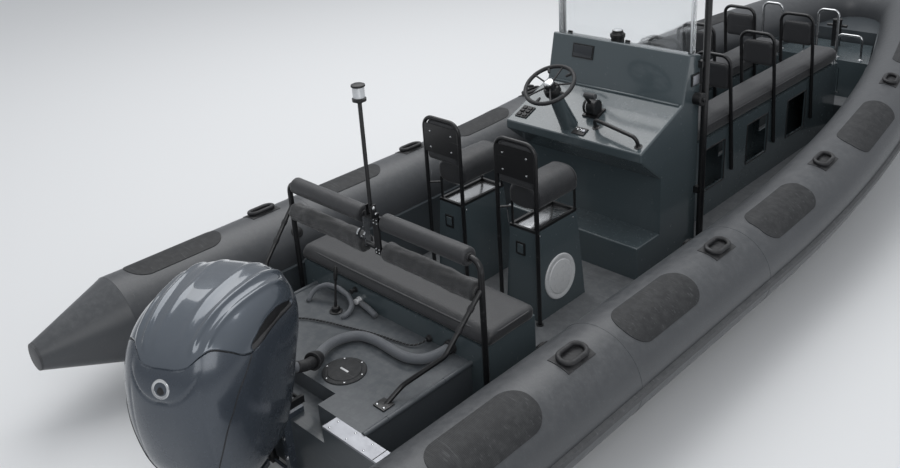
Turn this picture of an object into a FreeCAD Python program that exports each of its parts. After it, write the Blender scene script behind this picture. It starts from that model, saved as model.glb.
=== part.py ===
import FreeCAD, Part, Sketcher
import math
import os
import re

from FreeCAD import Placement, Rotation, Vector

# Rigid inflatable boat with a centre console, jockey seats and a single outboard engine.
# Millimetres. +X starboard, +Y towards the bow, +Z up. The origin is on the centreline,
# at the aft face of the transom, at the waterline.

doc = FreeCAD.newDocument("RibBoat")
sheet = doc.addObject("Spreadsheet::Sheet", "Sizes")

# alias, value or formula
SIZES = [
    ("seat", 0.3), ("deckTop", 20), ("deckThick", 8), ("floorTop", "=deckTop + deckThick"),
    ("tubeRadius", 258), ("tubeX", 1198), ("tubeZ", 437), ("tubeAft", -190),
    ("coneLength", 478), ("coneTipRadius", 78),
    ("bendY", 2600), ("riseRadius", 8000), ("riseAngle", 4), ("sideRadius", 12000), ("sideAngle", 20),
    ("flangeThick", 25), ("flangeDrop", 30), ("bottomThick", 40), ("chineInset", 130),
    ("railWidth", 34), ("strakeHeight", 46), ("strakeDepth", 20),
    ("patchThick", 3), ("patchWide", 250), ("patchRound", 110), ("starPatchMiddle", 21), ("portPatchMiddle", 5),
    ("gripLong", 190), ("gripWide", 110), ("gripRadius", 13), ("gripMiddle", 10),
    ("transomThick", 85), ("wellHalf", 440), ("wellTop", 320), ("capMiddle", 667), ("capHalf", 223), ("capThick", 12),
    ("platformFront", 810), ("platformHalf", "=frameHalf - 124"), ("platformTop", 420), ("beadRadius", 14),
    ("trayHalf", 300), ("trayFront", 195),
    ("hatchX", 193), ("hatchY", 341), ("hatchRadius", 116), ("hatchThick", 9),
    ("foreDeckY", 6010), ("foreDeckTop", 220), ("foreDeckEnd", 6900),
    ("benchHalf", 741), ("benchFront", 1205), ("benchBaseTop", 545),
    ("rearCushionHalf", 769), ("rearCushionAft", 852), ("rearCushionFront", 1180), ("rearCushionTop", 640),
    ("rearCushionRound", 30),
    ("frameHalf", 764), ("frameY", 791), ("frameTop", 1057), ("frameLow", 881), ("frameTubeRadius", 16),
    ("framePadRadius", 46), ("lowPadRadius", 40), ("padGap", 82), ("braceRadius", 13), ("braceFootY", 292),
    ("mastX", 38), ("mastPivotY", 740), ("mastPivotZ", 1150), ("mastTop", 1735), ("mastRadius", 11),
    ("towEyeX", -60), ("towEyeBore", 20),
    ("consoleX", -88), ("consoleHalf", 565), ("stepTop", 265), ("stepAft", 2566), ("stepFront", 2836),
    ("deskAft", 2592), ("deskAftTop", 925), ("deskFront", 3075), ("deskFrontTop", 1110), ("deskLip", 60),
    ("recessTop", 665), ("dashY", 3149), ("dashTop", 1441), ("topFront", 3294), ("topFrontZ", 1409), ("consoleRound", 14),
    ("wheelX", -166), ("wheelY", 2492), ("wheelZ", 1300), ("wheelRadius", 183), ("wheelRim", 14), ("wheelTilt", 59.6),
    ("archHeight", 2120), ("archTubeRadius", 24), ("archCorner", 160),
    ("screenThick", 8), ("screenHeight", "=archHeight - topFrontZ - 281"), ("screenWing", 90), ("screenRound", 60),
    ("podPortX", -452), ("podStarX", 159), ("podHalf", 100), ("podAft", 1796), ("podLength", 412),
    ("podTop", 622), ("podFlare", 37), ("podBar", 18), ("saddleHalf", 115), ("saddleFoot", 790), ("saddleTop", 930),
    ("saddleRound", 95), ("podHatchRadius", 150), ("podBackHalf", 140), ("podBackFoot", 985), ("podBackTop", 1205),
    ("podHoopY", 1755), ("podHoopRadius", 13),
    ("rowX", -50), ("rowOffset", 260), ("rowHalf", 125), ("rowAft", 3330), ("rowFront", 5950), ("rowTop", 650),
    ("rowWall", 12), ("rowCushion", 150), ("rowRound", 60), ("backPitch", 690), ("backFirst", 3935), ("backTop", 1210),
    ("backTubeRadius", 14), ("backFoot", 285), ("backLean", 110), ("backPadFoot", 950), ("backPadTop", 1140),
    ("holeFirst", 3610), ("holeLength", 330), ("holeFoot", 240), ("holeTop", 560), ("hoopTop", 1110),
    ("lockerAft", 6260), ("lockerFront", 6860), ("lockerGap", 16), ("lockerTop", 575), ("lockerWall", 14),
    ("doorHalf", 230), ("doorHeight", 235), ("doorZ", 262), ("doorGap", 5), ("doorPin", 4),
    ("postY", 6700), ("postHeight", 260), ("sternEyeX", 560), ("sternEyeZ", 150), ("sternEyeBore", 16),
    ("steerY", -120), ("steerAngle", 27.3), ("tiltY", -10), ("tiltZ", 430), ("tiltTube", 18), ("tiltBlock", 26),
    ("earRadius", 28), ("cowlBase", 480), ("apronBase", 300), ("cowlPower", 2.8),
    ("plateZ", -410), ("propZ", -628), ("propY", -445), ("propRadius", 198), ("hubRadius", 56), ("skegBottom", -835),
    ("gearRadius", 62), ("shaftRadius", 14),
    ("ramY", 45), ("ramZ", 432), ("ramRadius", 22), ("ramRod", 10), ("ramBodyHalf", 100), ("yokeZ", 446), ("armZ", 464),
    ("steerArm", 165), ("kingPin", 16),
    ("clampX", 155), ("clampThick", 36), ("pinY", -32), ("pinZ", 10), ("eyeY", -60), ("eyeZ", 330),
    ("barrelRadius", 24), ("barrelLength", 225), ("rodRadius", 11), ("swivelRadius", 38),
    ("hoseRadius", 27), ("cableRadius", 7),
]
aliases = {alias for alias, value in SIZES}
for row, (alias, value) in enumerate(SIZES, start=1):
    sheet.set("A%d" % row, alias)
    sheet.setAlias("B%d" % row, alias)
for row, (alias, value) in enumerate(SIZES, start=1):
    sheet.set("B%d" % row, str(value))
doc.recompute()


def size(alias):
    return float(getattr(sheet, alias))


X, Y, Z = Vector(1, 0, 0), Vector(0, 1, 0), Vector(0, 0, 1)
nodes = []


# Pieces bound to the sheet: every text is a formula of its aliases

def bound(text):
    return re.sub(r"[A-Za-z]\w*", lambda word: "Sizes." + word.group(0) if word.group(0) in aliases else word.group(0),
                  str(text))


def bind(piece, **formulas):
    for key, text in formulas.items():
        piece.setExpression(key, bound(text))
    return piece


def standAt(piece, x, y, z):
    for axis, text in (("x", x), ("y", y), ("z", z)):
        piece.setExpression(".Placement.Base." + axis, bound(text))
    return piece


def boxPart(label, place, sizes):
    piece = bind(doc.addObject("Part::Box", label), Length=sizes[0], Width=sizes[1], Height=sizes[2])
    return standAt(piece, *place)


def rodPart(label, place, radius, length, axis=Z):
    piece = bind(doc.addObject("Part::Cylinder", label), Radius=radius, Height=length)
    piece.Placement = Placement(Vector(0, 0, 0), Rotation(Z, axis))
    return standAt(piece, *place)


def fusePart(label, pieces):
    joint = doc.addObject("Part::MultiFuse", label)
    joint.Shapes = pieces
    return joint


def cutPart(label, base, tool):
    rest = doc.addObject("Part::Cut", label)
    rest.Base, rest.Tool = base, tool
    return rest


def groupPart(label, pieces):
    group = doc.addObject("Part::Compound", label)
    group.Links = pieces
    return group


def roundPart(label, base, radius, chosen):
    doc.recompute()
    piece = doc.addObject("Part::Fillet", label)
    piece.Base = base
    piece.Edges = [(index, radius, radius) for index, edge in enumerate(base.Shape.Edges, start=1) if chosen(edge)]
    return piece


def atTop(base):
    doc.recompute()
    top = base.Shape.BoundBox.ZMax
    return lambda edge: edge.BoundBox.ZMin > top - 1


def keepPart(piece):
    nodes.append(piece)
    return piece


# Shapes worked out from the sheet's sizes, for the forms that no plain piece fits

def keep(label, shape):
    piece = doc.addObject("Part::Feature", label)
    piece.Shape = shape
    nodes.append(piece)
    return piece


def box(low, high):
    return Part.makeBox(high[0] - low[0], high[1] - low[1], high[2] - low[2], Vector(*low))


def rod(start, end, radius):
    start, end = Vector(*start), Vector(*end)
    return Part.makeCylinder(radius, (end - start).Length, start, end - start)


def prism(points, direction):
    """A solid from a flat outline, pushed along a direction."""
    outline = Part.makePolygon([Vector(*p) for p in points] + [Vector(*points[0])])
    return Part.Face(outline).extrude(Vector(*direction))


def mirrored(shape):
    return shape.mirror(Vector(0, 0, 0), X)


def fused(shapes):
    first = shapes[0]
    return first.fuse(shapes[1:]).removeSplitter() if len(shapes) > 1 else first


def bentTube(points, radius, bend):
    """A round tube through the points, its corners rounded with the bend radius."""
    points = [Vector(*p) for p in points]
    edges = []
    start = points[0]
    for before, corner, after in zip(points, points[1:], points[2:]):
        into = (corner - before).normalize()
        out = (after - corner).normalize()
        turn = into.getAngle(out)
        if turn < 0.01:
            continue
        cut = bend * math.tan(turn / 2)
        first, last = corner - into * cut, corner + out * cut
        middle = corner + (out - into).normalize() * (bend / math.cos(turn / 2) - bend)
        edges.append(Part.LineSegment(start, first).toShape())
        edges.append(Part.Arc(first, middle, last).toShape())
        start = last
    edges.append(Part.LineSegment(start, points[-1]).toShape())
    path = Part.Wire(edges)
    ring = Part.Wire(Part.makeCircle(radius, points[0], points[1] - points[0]))
    return path.makePipeShell([ring], True, True)


# The inflatable collar's centre line on the starboard side: a straight run, a short rise in
# the fore-and-aft plane, a long side arc and the nose arc, the last two in one sloping plane.

rise = math.radians(size("riseAngle"))
sweep = math.radians(size("sideAngle"))
slope = Vector(0, math.cos(rise), math.sin(rise))
lean = Vector(0, -math.sin(rise), math.cos(rise))
aftPoint = Vector(size("tubeX"), size("tubeAft"), size("tubeZ"))
bendPoint = Vector(size("tubeX"), size("bendY"), size("tubeZ"))
risePoint = bendPoint + Y * size("riseRadius") * math.sin(rise) + Z * size("riseRadius") * (1 - math.cos(rise))
sideCentre = risePoint - X * size("sideRadius")
sidePoint = sideCentre + X * size("sideRadius") * math.cos(sweep) + slope * size("sideRadius") * math.sin(sweep)
noseRadius = sidePoint.x / math.cos(sweep)
noseCentre = sidePoint - (X * math.cos(sweep) + slope * math.sin(sweep)) * noseRadius
straightLength = size("bendY") - size("tubeAft")

# name, length, kind, centre and axis of the turn
RUNS = [
    ("straight", straightLength, "line", None, None),
    ("rise", size("riseRadius") * rise, "arc", bendPoint + Z * size("riseRadius"), X),
    ("side", size("sideRadius") * sweep, "arc", sideCentre, lean),
    ("nose", noseRadius * (math.pi / 2 - sweep), "arc", noseCentre, lean),
]


def frameAt(station):
    """Place of the collar's section, outboard in its local X and up in its local Y."""
    here = Placement(aftPoint, Rotation(X, Z, Y * -1, "XYZ"))
    for name, length, kind, centre, axis in RUNS:
        along = min(station, length)
        if kind == "line":
            here = Placement(here.Base + Y * along, here.Rotation)
        else:
            turn = math.degrees(along / length * (rise if name == "rise" else
                                                  sweep if name == "side" else math.pi / 2 - sweep))
            spin = Placement(Vector(0, 0, 0), Rotation(axis, turn), centre)
            here = spin.multiply(here)
        station -= along
        if station <= 0:
            break
    return here


def collarSweep(section, first, last):
    """Sweeps a flat section (local X outboard, local Y up) along the collar between two stations."""
    parts = []
    begin = 0.0
    for name, length, kind, centre, axis in RUNS:
        low, high = max(first, begin), min(last, begin + length)
        if high - low > 0.01:
            face = Part.Face(section.copy())
            face.Placement = frameAt(low)
            if kind == "line":
                parts.append(face.extrude(Y * (high - low)))
            else:
                angle = (high - low) / length * (rise if name == "rise" else
                                                 sweep if name == "side" else math.pi / 2 - sweep)
                parts.append(face.revolve(centre, axis, math.degrees(angle)))
        begin += length
    return fused(parts)


def circleWire(radius):
    return Part.Wire(Part.makeCircle(radius))


def sectorWire(inner, outer, fromTop, toTop):
    """A ring sector: angles in degrees from the top, positive outboard."""
    def at(radius, angle):
        return Vector(radius * math.sin(math.radians(angle)), radius * math.cos(math.radians(angle)), 0)
    middle = (fromTop + toTop) / 2
    return Part.Wire([
        Part.Arc(at(outer, fromTop), at(outer, middle), at(outer, toTop)).toShape(),
        Part.LineSegment(at(outer, toTop), at(inner, toTop)).toShape(),
        Part.Arc(at(inner, toTop), at(inner, middle), at(inner, fromTop)).toShape(),
        Part.LineSegment(at(inner, fromTop), at(outer, fromTop)).toShape()])


sideEnd = sum(run[1] for run in RUNS[:3])
noseEnd = sum(run[1] for run in RUNS)


def tubeAt(y):
    """Centre of the collar tube, X and Z, at a place along the boat."""
    if y <= size("bendY"):
        return size("tubeX"), size("tubeZ")
    if y <= risePoint.y:
        turn = math.asin((y - size("bendY")) / size("riseRadius"))
        return size("tubeX"), size("tubeZ") + size("riseRadius") * (1 - math.cos(turn))
    up = risePoint.z + (y - risePoint.y) * math.tan(rise)
    if y <= sidePoint.y:
        turn = math.asin((y - risePoint.y) / math.cos(rise) / size("sideRadius"))
        return size("tubeX") - size("sideRadius") * (1 - math.cos(turn)), up
    turn = math.asin(min(1, (y - noseCentre.y) / math.cos(rise) / noseRadius))
    return noseRadius * math.cos(turn), up


# The collar

starTube = collarSweep(circleWire(size("tubeRadius")), 0, sideEnd)
cone = Part.makeCone(size("tubeRadius"), size("coneTipRadius"), size("coneLength"), aftPoint, Y * -1)
starTube = starTube.fuse(cone).removeSplitter()
halfNose = collarSweep(circleWire(size("tubeRadius")), sideEnd, noseEnd)
noseTube = halfNose.fuse(mirrored(halfNose)).removeSplitter()
keep("tube_starboard", starTube)
keep("tube_port", mirrored(starTube))
keep("tube_bow", noseTube)

strakeIn = size("tubeRadius") + size("seat")
half = size("strakeHeight") / 2
strakeOut = strakeIn + size("strakeDepth")
strakeSection = Part.Wire(Part.makePolygon([
    Vector(strakeIn, -half, 0), Vector(strakeOut, -half * 0.6, 0), Vector(strakeOut, half * 0.6, 0),
    Vector(strakeIn, half, 0), Vector(strakeIn, -half, 0)]))
starStrake = collarSweep(strakeSection, 40, noseEnd)
keep("rub_strake", starStrake.fuse(mirrored(starStrake)).removeSplitter())

# first and last station of each wear patch, millimetres along the collar
PATCHES = [(110, 720), (1395, 2015), (2755, 3400), (4110, 4890), (5700, 6400)]
patchFoot = size("tubeRadius") + size("seat")


def standOnCollar(shape, station, middle):
    """Turns a piece made on the XY plane, long side along X, to stand on the collar's skin."""
    place = frameAt(station)
    turn = math.radians(middle)
    outward = place.Rotation.multVec(Vector(math.sin(turn), math.cos(turn), 0))
    forward = place.Rotation.multVec(Vector(0, 0, -1))
    shape = shape.copy()
    shape.Placement = Placement(place.Base, Rotation(forward, outward.cross(forward), outward, "XYZ")).multiply(
        shape.Placement)
    return shape


def roundedPlate(long, wide, radius, low, high):
    """A plate on the XY plane with rounded corners, between two heights."""
    plate = box((-long / 2, -wide / 2, low), (long / 2, wide / 2, high))
    return plate.makeFillet(radius, [edge for edge in plate.Edges if edge.BoundBox.ZLength > high - low - 0.01])


def patchAt(first, last, middle):
    reach = math.degrees(size("patchWide") / 2 / patchFoot)
    skin = collarSweep(sectorWire(patchFoot, patchFoot + size("patchThick"), middle - reach, middle + reach), first, last)
    outline = roundedPlate(last - first - 2, 2 * patchFoot * math.sin(math.radians(reach)) - 1, size("patchRound"),
                           patchFoot - 90, patchFoot + 20)
    return skin.common(standOnCollar(outline, (first + last) / 2, middle))


patches = [patchAt(first, last, size("starPatchMiddle")) for first, last in PATCHES]
patches += [mirrored(patchAt(first, last, size("portPatchMiddle"))) for first, last in PATCHES]
keep("wear_patches", Part.makeCompound(patches))

# station of each grab handle along the collar: an oval rubber ring on a curved pad
HANDLES = [1060, 2380, 3780, 5320]
gripStraight = (size("gripLong") - size("gripWide")) / 2
gripBend = size("gripWide") / 2 - size("gripRadius")
gripHigh = patchFoot + size("patchThick") + size("seat") + size("gripRadius")


def halfRing(turn, x):
    ring = Part.makeTorus(gripBend, size("gripRadius"), Vector(0, 0, 0), Z, 0, 360, 180)
    ring.rotate(Vector(0, 0, 0), Z, turn)
    ring.translate(Vector(x, 0, gripHigh))
    return ring


sides = [rod((-gripStraight, y, gripHigh), (gripStraight, y, gripHigh), size("gripRadius")) for y in (-gripBend, gripBend)]
grip = fused([halfRing(-90, gripStraight), halfRing(90, -gripStraight)] + sides)
handles = []
for station in HANDLES:
    reach = math.degrees((size("gripWide") / 2 + 8) / patchFoot)
    pad = collarSweep(sectorWire(patchFoot, patchFoot + size("patchThick"), size("gripMiddle") - reach,
                                 size("gripMiddle") + reach),
                      station - size("gripLong") / 2 - 8, station + size("gripLong") / 2 + 8)
    handles += [pad, standOnCollar(grip, station, size("gripMiddle"))]
keep("tube_handles", Part.makeCompound(handles + [mirrored(handle) for handle in handles]))

# The hull: a deep V closed by the deck, with a flange that the collar is bonded to

# place along the boat, keel height, chine height
STATIONS = [(0, -400, 60), (3158, -400, 60), (4500, -400, 80), (5600, -330, 130),
            (6400, -170, 230), (7000, 60, 360), (7450, 380, 460)]


def between(y, column):
    """A keel or chine height at any place along the boat."""
    for low, high in zip(STATIONS, STATIONS[1:]):
        if y <= high[0]:
            return low[column] + (high[column] - low[column]) * (y - low[0]) / (high[0] - low[0])
    return STATIONS[-1][column]


def chineHalf(y):
    centre = tubeAt(y)[0]
    return max(centre - size("chineInset"), centre * 0.55)


def floorHalf(y, height):
    """Half the floor's width: inside the flange, and inside the V of the bottom."""
    keel, chine = between(y, 1), between(y, 2)
    bottom = chineHalf(y) * min(1, (height - keel) / (chine - keel))
    return min(tubeAt(y)[0] - inner, bottom - size("bottomThick"))


inner = size("tubeRadius") + size("flangeThick")

# spray rails under the bottom: share of the way from keel to chine
RAILS = [0.42, 0.72]


def bottomOutline(y, keel, chine):
    """Half the hull's section from the keel to the flange, with its spray rails."""
    centreX, centreZ = tubeAt(y)
    wide = chineHalf(y)
    width = size("railWidth") * wide / chineHalf(0)
    half = []
    for share in RAILS:
        x, z = wide * share, keel + (chine - keel) * share
        half += [(x, z), (x + width, z), (x + width + 1, keel + (chine - keel) * (x + width + 1) / wide)]
    outX, outZ = centreX + 15, centreZ - size("tubeRadius") + 3
    half += [(wide, chine), (outX, max(outZ, chine + 10)), (outX, centreZ - size("flangeDrop"))]
    return half


sections = []
for y, keel, chine in STATIONS:
    half = bottomOutline(y, keel, chine)
    points = [(0, keel)] + half + [(-x, z) for x, z in reversed(half)]
    sections.append(Part.Wire(Part.makePolygon([Vector(x, y, z) for x, z in points] + [Vector(0, y, keel)])))
hull = Part.makeLoft(sections, True, True)


def liner(places, floor):
    """The space over a floor, its sides sloping out to the flange, between places along the boat."""
    rings = []
    for y in places:
        low, high = floorHalf(y, floor), tubeAt(y)[0] - inner
        top = tubeAt(y)[1]
        rings.append(Part.makePolygon([Vector(-low, y, floor), Vector(low, y, floor), Vector(high, y, top),
                                       Vector(high, y, top + 600), Vector(-high, y, top + 600),
                                       Vector(-high, y, top), Vector(-low, y, floor)]))
    return Part.makeLoft(rings, True, True)


deckPlaces = [size("transomThick"), 1600, 3158, 4500, 5600, size("foreDeckY")]
forePlaces = [size("foreDeckY"), 6400, size("foreDeckEnd")]
cockpit = liner(deckPlaces, size("deckTop"))
foreWell = liner(forePlaces, size("foreDeckTop"))
gap = size("tubeRadius") + size("seat")
cutter = collarSweep(circleWire(gap), 0, sideEnd)
noseCutter = collarSweep(circleWire(gap), sideEnd, noseEnd)
hull = hull.cut([cockpit, foreWell, cutter, mirrored(cutter), noseCutter, mirrored(noseCutter)])
hull = sorted(hull.Solids, key=lambda solid: solid.Volume)[-1]
well = box((-size("wellHalf"), -50, size("wellTop")), (size("wellHalf"), size("transomThick") + 1, 900))
closedHull = hull.cut(well)
hullPart = keep("hull", closedHull)


def floorPlate(places, height, thick, gap):
    """A plate that lies on a floor between places along the boat."""
    rings = []
    for y in places:
        wide = floorHalf(y, height) - gap
        rings.append(Part.makePolygon([Vector(-wide, y, height), Vector(wide, y, height),
                                       Vector(wide, y, height + thick), Vector(-wide, y, height + thick),
                                       Vector(-wide, y, height)]))
    return Part.makeLoft(rings, True, True)


keep("deck", floorPlate([size("platformFront") + 2] + deckPlaces[1:-1] + [size("foreDeckY") - 2],
                        size("deckTop"), size("deckThick"), 2))
tread = floorPlate([size("foreDeckY") + 4, size("lockerAft") - 2], size("foreDeckTop"), size("deckThick"), 4)
keep("bow_step", tread)
floorTop = size("floorTop")

# Platform over the engine well, with its transom caps

platform = box((-size("platformHalf"), size("transomThick"), size("deckTop")),
               (size("platformHalf"), size("platformFront"), size("platformTop")))
beads = [rod((side * size("platformHalf"), size("transomThick"), size("platformTop") - 4),
             (side * size("platformHalf"), size("platformFront"), size("platformTop") - 4), size("beadRadius"))
         for side in (-1, 1)]
tray = box((-size("trayHalf"), size("transomThick") - 1, size("wellTop")),
           (size("trayHalf"), size("trayFront"), size("platformTop") + 30))
keep("aft_platform", fused([platform] + beads).cut(tray))
caps = [cutPart("cap" + tag, boxPart("capBlank" + tag, (middle + " - capHalf", 0, "tubeZ - flangeDrop"),
                                     ("2 * capHalf", "transomThick", "capThick")), hullPart)
        for tag, middle in (("Port", "-capMiddle"), ("Star", "capMiddle"))]
keepPart(groupPart("transom_caps", caps))

# Rear bench, its cushion and the seat frame behind it

keepPart(boxPart("rear_bench", ("-benchHalf", "platformFront", "floorTop"),
                 ("2 * benchHalf", "benchFront - platformFront", "benchBaseTop - floorTop")))
cushion = boxPart("rearCushionBlank", ("-rearCushionHalf", "rearCushionAft", "benchBaseTop"),
                  ("2 * rearCushionHalf", "rearCushionFront - rearCushionAft", "rearCushionTop - benchBaseTop"))
keepPart(roundPart("rear_cushion", cushion, size("rearCushionRound"), atTop(cushion)))

post, frameY = size("frameHalf"), size("frameY")
hoop = bentTube([(-post, frameY, size("deckTop")), (-post, frameY, size("frameTop")),
                 (post, frameY, size("frameTop")), (post, frameY, size("deckTop"))], size("frameTubeRadius"), 60)
cross = rod((-post, frameY, size("frameLow")), (post, frameY, size("frameLow")), size("frameTubeRadius"))
braces = []
for side in (-1, 1):
    foot = post - 211
    brace = bentTube([(side * post, frameY, size("frameTop") - 150), (side * (post - 29), 545, 640),
                      (side * (post - 189), 400, 482), (side * foot, size("braceFootY") - 2, size("platformTop") - 8)],
                     size("braceRadius"), 60)
    brace = brace.cut(box((-foot - 130, 100, 300), (foot + 130, 500, size("platformTop"))))
    braces += [brace, Part.makeCylinder(30, 6, Vector(side * foot, size("braceFootY"), size("platformTop")))]
seatFrame = hoop.fuse(cross)
for piece in braces:
    seatFrame = seatFrame.fuse(piece)
keep("seat_frame", seatFrame)

sleeves = []
for tag, height, radius, end in (("Top", "frameTop", "framePadRadius", 70), ("Low", "frameLow", "lowPadRadius", 30)):
    for side, start in (("Port", "%d - frameHalf" % end), ("Star", "padGap")):
        long = "frameHalf - padGap - %d" % end
        sleeves.append(cutPart("sleeve" + tag + side,
                               rodPart("sleeveOut" + tag + side, (start, "frameY", height), radius, long, X),
                               rodPart("sleeveIn" + tag + side, (start, "frameY", height), "frameTubeRadius + seat", long, X)))
keepPart(groupPart("frame_pads", sleeves))


def crossTubes(tag):
    """The frame's two cross tubes as cutting tools for what is clamped to them."""
    return [rodPart("tube%s%s" % (tag, height), (-200, "frameY", height), "frameTubeRadius", 400, X)
            for height in ("frameLow", "frameTop")]


# tow eye: a plate between the two cross tubes, with a ring that stands out aft
eyePlate = boxPart("eyePlate", ("towEyeX - 6", "frameY - 30", "frameLow"), (12, 34, "frameTop - frameLow"))
eyeRing = rodPart("eyeRing", ("towEyeX - 6", "frameY - 48", "(frameLow + frameTop) / 2"), "towEyeBore + 14", 12, X)
eyeBore = rodPart("eyeBore", ("towEyeX - 9", "frameY - 48", "(frameLow + frameTop) / 2"), "towEyeBore", 18, X)
keepPart(cutPart("tow_eye", fusePart("eyeBlank", [eyePlate, eyeRing]), fusePart("eyeTools", [eyeBore] + crossTubes("Eye"))))

# folding light mast: a bracket on the cross tubes, a pin and the pole
cheeks = [boxPart("cheek%d" % place, ("mastX + %d" % (place - 4), "mastPivotY - 18", "mastPivotZ - 60"), (8, 36, 76))
          for place in (-19, 19)]
backing = boxPart("mastBacking", ("mastX - 23", "frameY - 30", "frameLow - 20"), (46, 12, "mastPivotZ - frameLow - 20"))
foot = boxPart("mastFoot", ("mastX - 23", "mastPivotY - 18", "mastPivotZ - 60"), (46, "frameY - mastPivotY", 14))
clips = [boxPart("clip" + height, ("mastX - 23", "frameY - 30", height + " - 22"), (46, 30, 44))
         for height in ("frameLow", "frameTop")]
pinBore = rodPart("mastPinBore", (-100, "mastPivotY", "mastPivotZ"), 5.05, 200, X)
keepPart(cutPart("mast_bracket", fusePart("bracketBlank", cheeks + [backing, foot] + clips),
                 fusePart("bracketTools", [pinBore] + crossTubes("Mast"))))
keepPart(fusePart("mast_pole", [
    rodPart("poleTube", ("mastX", "mastPivotY", "mastPivotZ - 25"), "mastRadius", "mastTop - mastPivotZ + 25"),
    rodPart("polePin", ("mastX - 24", "mastPivotY", "mastPivotZ"), 5, 48, X)]))
# name, radius, length, height over the pole's top
LAMP = [("lampFoot", 36, 20, 0), ("lampLens", 31, 78, 0), ("lampCap", 36, 14, 76)]
keepPart(fusePart("mast_light", [rodPart(name, ("mastX", "mastPivotY", "mastTop + %d" % high), radius, length)
                                 for name, radius, length, high in LAMP]))

# Console: a body from one sketched side view, padded across the boat and rounded

# place along the boat and height of each corner, from the step's foot round to its top
CONSOLE_SIDE = [("stepAft", "floorTop"), ("topFront + 10", "floorTop"), ("topFront", "topFrontZ"), ("dashY", "dashTop"),
                ("deskFront", "deskFrontTop"), ("deskAft", "deskAftTop"), ("deskAft", "deskAftTop - deskLip"),
                ("stepFront", "recessTop"), ("stepFront", "stepTop"), ("stepAft", "stepTop")]


def number(text):
    """The value of a formula of the sheet's aliases."""
    probe = bind(doc.addObject("Part::Cylinder", "probe"), Height=text)
    doc.recompute()
    value = float(probe.Height)
    doc.removeObject(probe.Name)
    return value


def paddedProfile(label, corners, start, width):
    """A body: corners given as formulas in a sketch on the YZ plane, padded across the boat."""
    body = doc.addObject("PartDesign::Body", label)
    sketch = body.newObject("Sketcher::SketchObject", label + "Side")
    values = [Vector(number(along), number(high), 0) for along, high in corners]
    for first, second in zip(values, values[1:] + values[:1]):
        sketch.addGeometry(Part.LineSegment(first, second), False)
    for index in range(len(corners)):
        sketch.addConstraint(Sketcher.Constraint("Coincident", index, 2, (index + 1) % len(corners), 1))
    for index, (along, high) in enumerate(corners):
        for kind, text, value in (("DistanceX", along, values[index].x), ("DistanceY", high, values[index].y)):
            name = "%s%d" % (kind[-1].lower(), index)
            sketch.renameConstraint(sketch.addConstraint(Sketcher.Constraint(kind, -1, 1, index, 1, value)), name)
            sketch.setExpression("Constraints." + name, bound(text))
    sketch.Placement = Placement(Vector(0, 0, 0), Rotation(Y, Z, X, "XYZ"))
    sketch.setExpression(".Placement.Base.x", bound(start))
    pad = body.newObject("PartDesign::Pad", label + "Pad")
    pad.Profile = sketch
    pad.setExpression("Length", bound(width))
    doc.recompute()
    return body, pad


console, consolePad = paddedProfile("console", CONSOLE_SIDE, "consoleX - consoleHalf", "2 * consoleHalf")
soft = [index for index, edge in enumerate(consolePad.Shape.Edges, start=1)
        if edge.BoundBox.ZMax > size("floorTop") + 1 and
        not (edge.BoundBox.ZMax < size("recessTop") + 1 and edge.BoundBox.YMin > size("stepFront") - 1
             and edge.BoundBox.YMax < size("stepFront") + 1)]
rounding = console.newObject("PartDesign::Fillet", "consoleRounding")
rounding.Base = (consolePad, ["Edge%d" % index for index in soft])
bind(rounding, Radius="consoleRound")
keepPart(console)
doc.recompute()
consoleShape = console.Shape

left, right = size("consoleX") - size("consoleHalf"), size("consoleX") + size("consoleHalf")
archSpan = size("consoleHalf") + size("archTubeRadius") + 8
archY = size("topFront") + 12
arch = bentTube([(size("consoleX") - archSpan, archY, floorTop), (size("consoleX") - archSpan, archY, size("archHeight")),
                 (size("consoleX") + archSpan, archY, size("archHeight")), (size("consoleX") + archSpan, archY, floorTop)],
                size("archTubeRadius"), size("archCorner"))
# brackets that hold the arch to the console's sides
for side in (-1, 1):
    face = size("consoleX") + side * (size("consoleHalf") + size("seat"))
    tube = size("consoleX") + side * archSpan
    for height in (420, 1330):
        arch = arch.fuse(box((min(face, tube), archY - 52, height), (max(face, tube), archY - 10, height + 46)))
keep("console_arch", arch)

deskSlope = math.atan2(size("deskFrontTop") - size("deskAftTop"), size("deskFront") - size("deskAft"))
dashSlope = math.atan2(size("dashTop") - size("deskFrontTop"), size("dashY") - size("deskFront"))


def onDesk(x, y, high=0.0):
    """A point on the sloping desk, or above it square to its face."""
    z = size("deskAftTop") + (y - size("deskAft")) * math.tan(deskSlope)
    return Vector(x, y - high * math.sin(deskSlope), z + high * math.cos(deskSlope))


def onDash(x, z, high=0.0):
    y = size("deskFront") + (z - size("deskFrontTop")) / math.tan(dashSlope)
    return Vector(x, y - high * math.sin(dashSlope), z + high * math.cos(dashSlope))


def onFace(shape, place, tilt):
    """Stands a piece made on the XY plane on a face that rises towards the bow."""
    shape = shape.copy()
    shape.Placement = Placement(place, Rotation(X, math.degrees(tilt))).multiply(shape.Placement)
    return shape


# windscreen: one bent sheet, open aft
screenY = size("topFront") - 7
screenFoot = size("topFrontZ") + 2
glass = size("screenThick")


def screenBlock(inset):
    block = box((left + 20 + inset, screenY - 300, screenFoot),
                (right - 20 - inset, screenY + glass - inset, screenFoot + size("screenHeight")))
    corners = [edge for edge in block.Edges if edge.BoundBox.YMin > screenY - 100 and edge.BoundBox.ZLength > 100]
    return block.makeFillet(size("screenRound") - inset, corners)


screen = screenBlock(0).cut([screenBlock(glass), box((left, screenY - 310, screenFoot - 1),
                                                     (right, screenY - size("screenWing"), screenFoot + 900))])
keep("windscreen", screen.cut(consoleShape))

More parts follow.
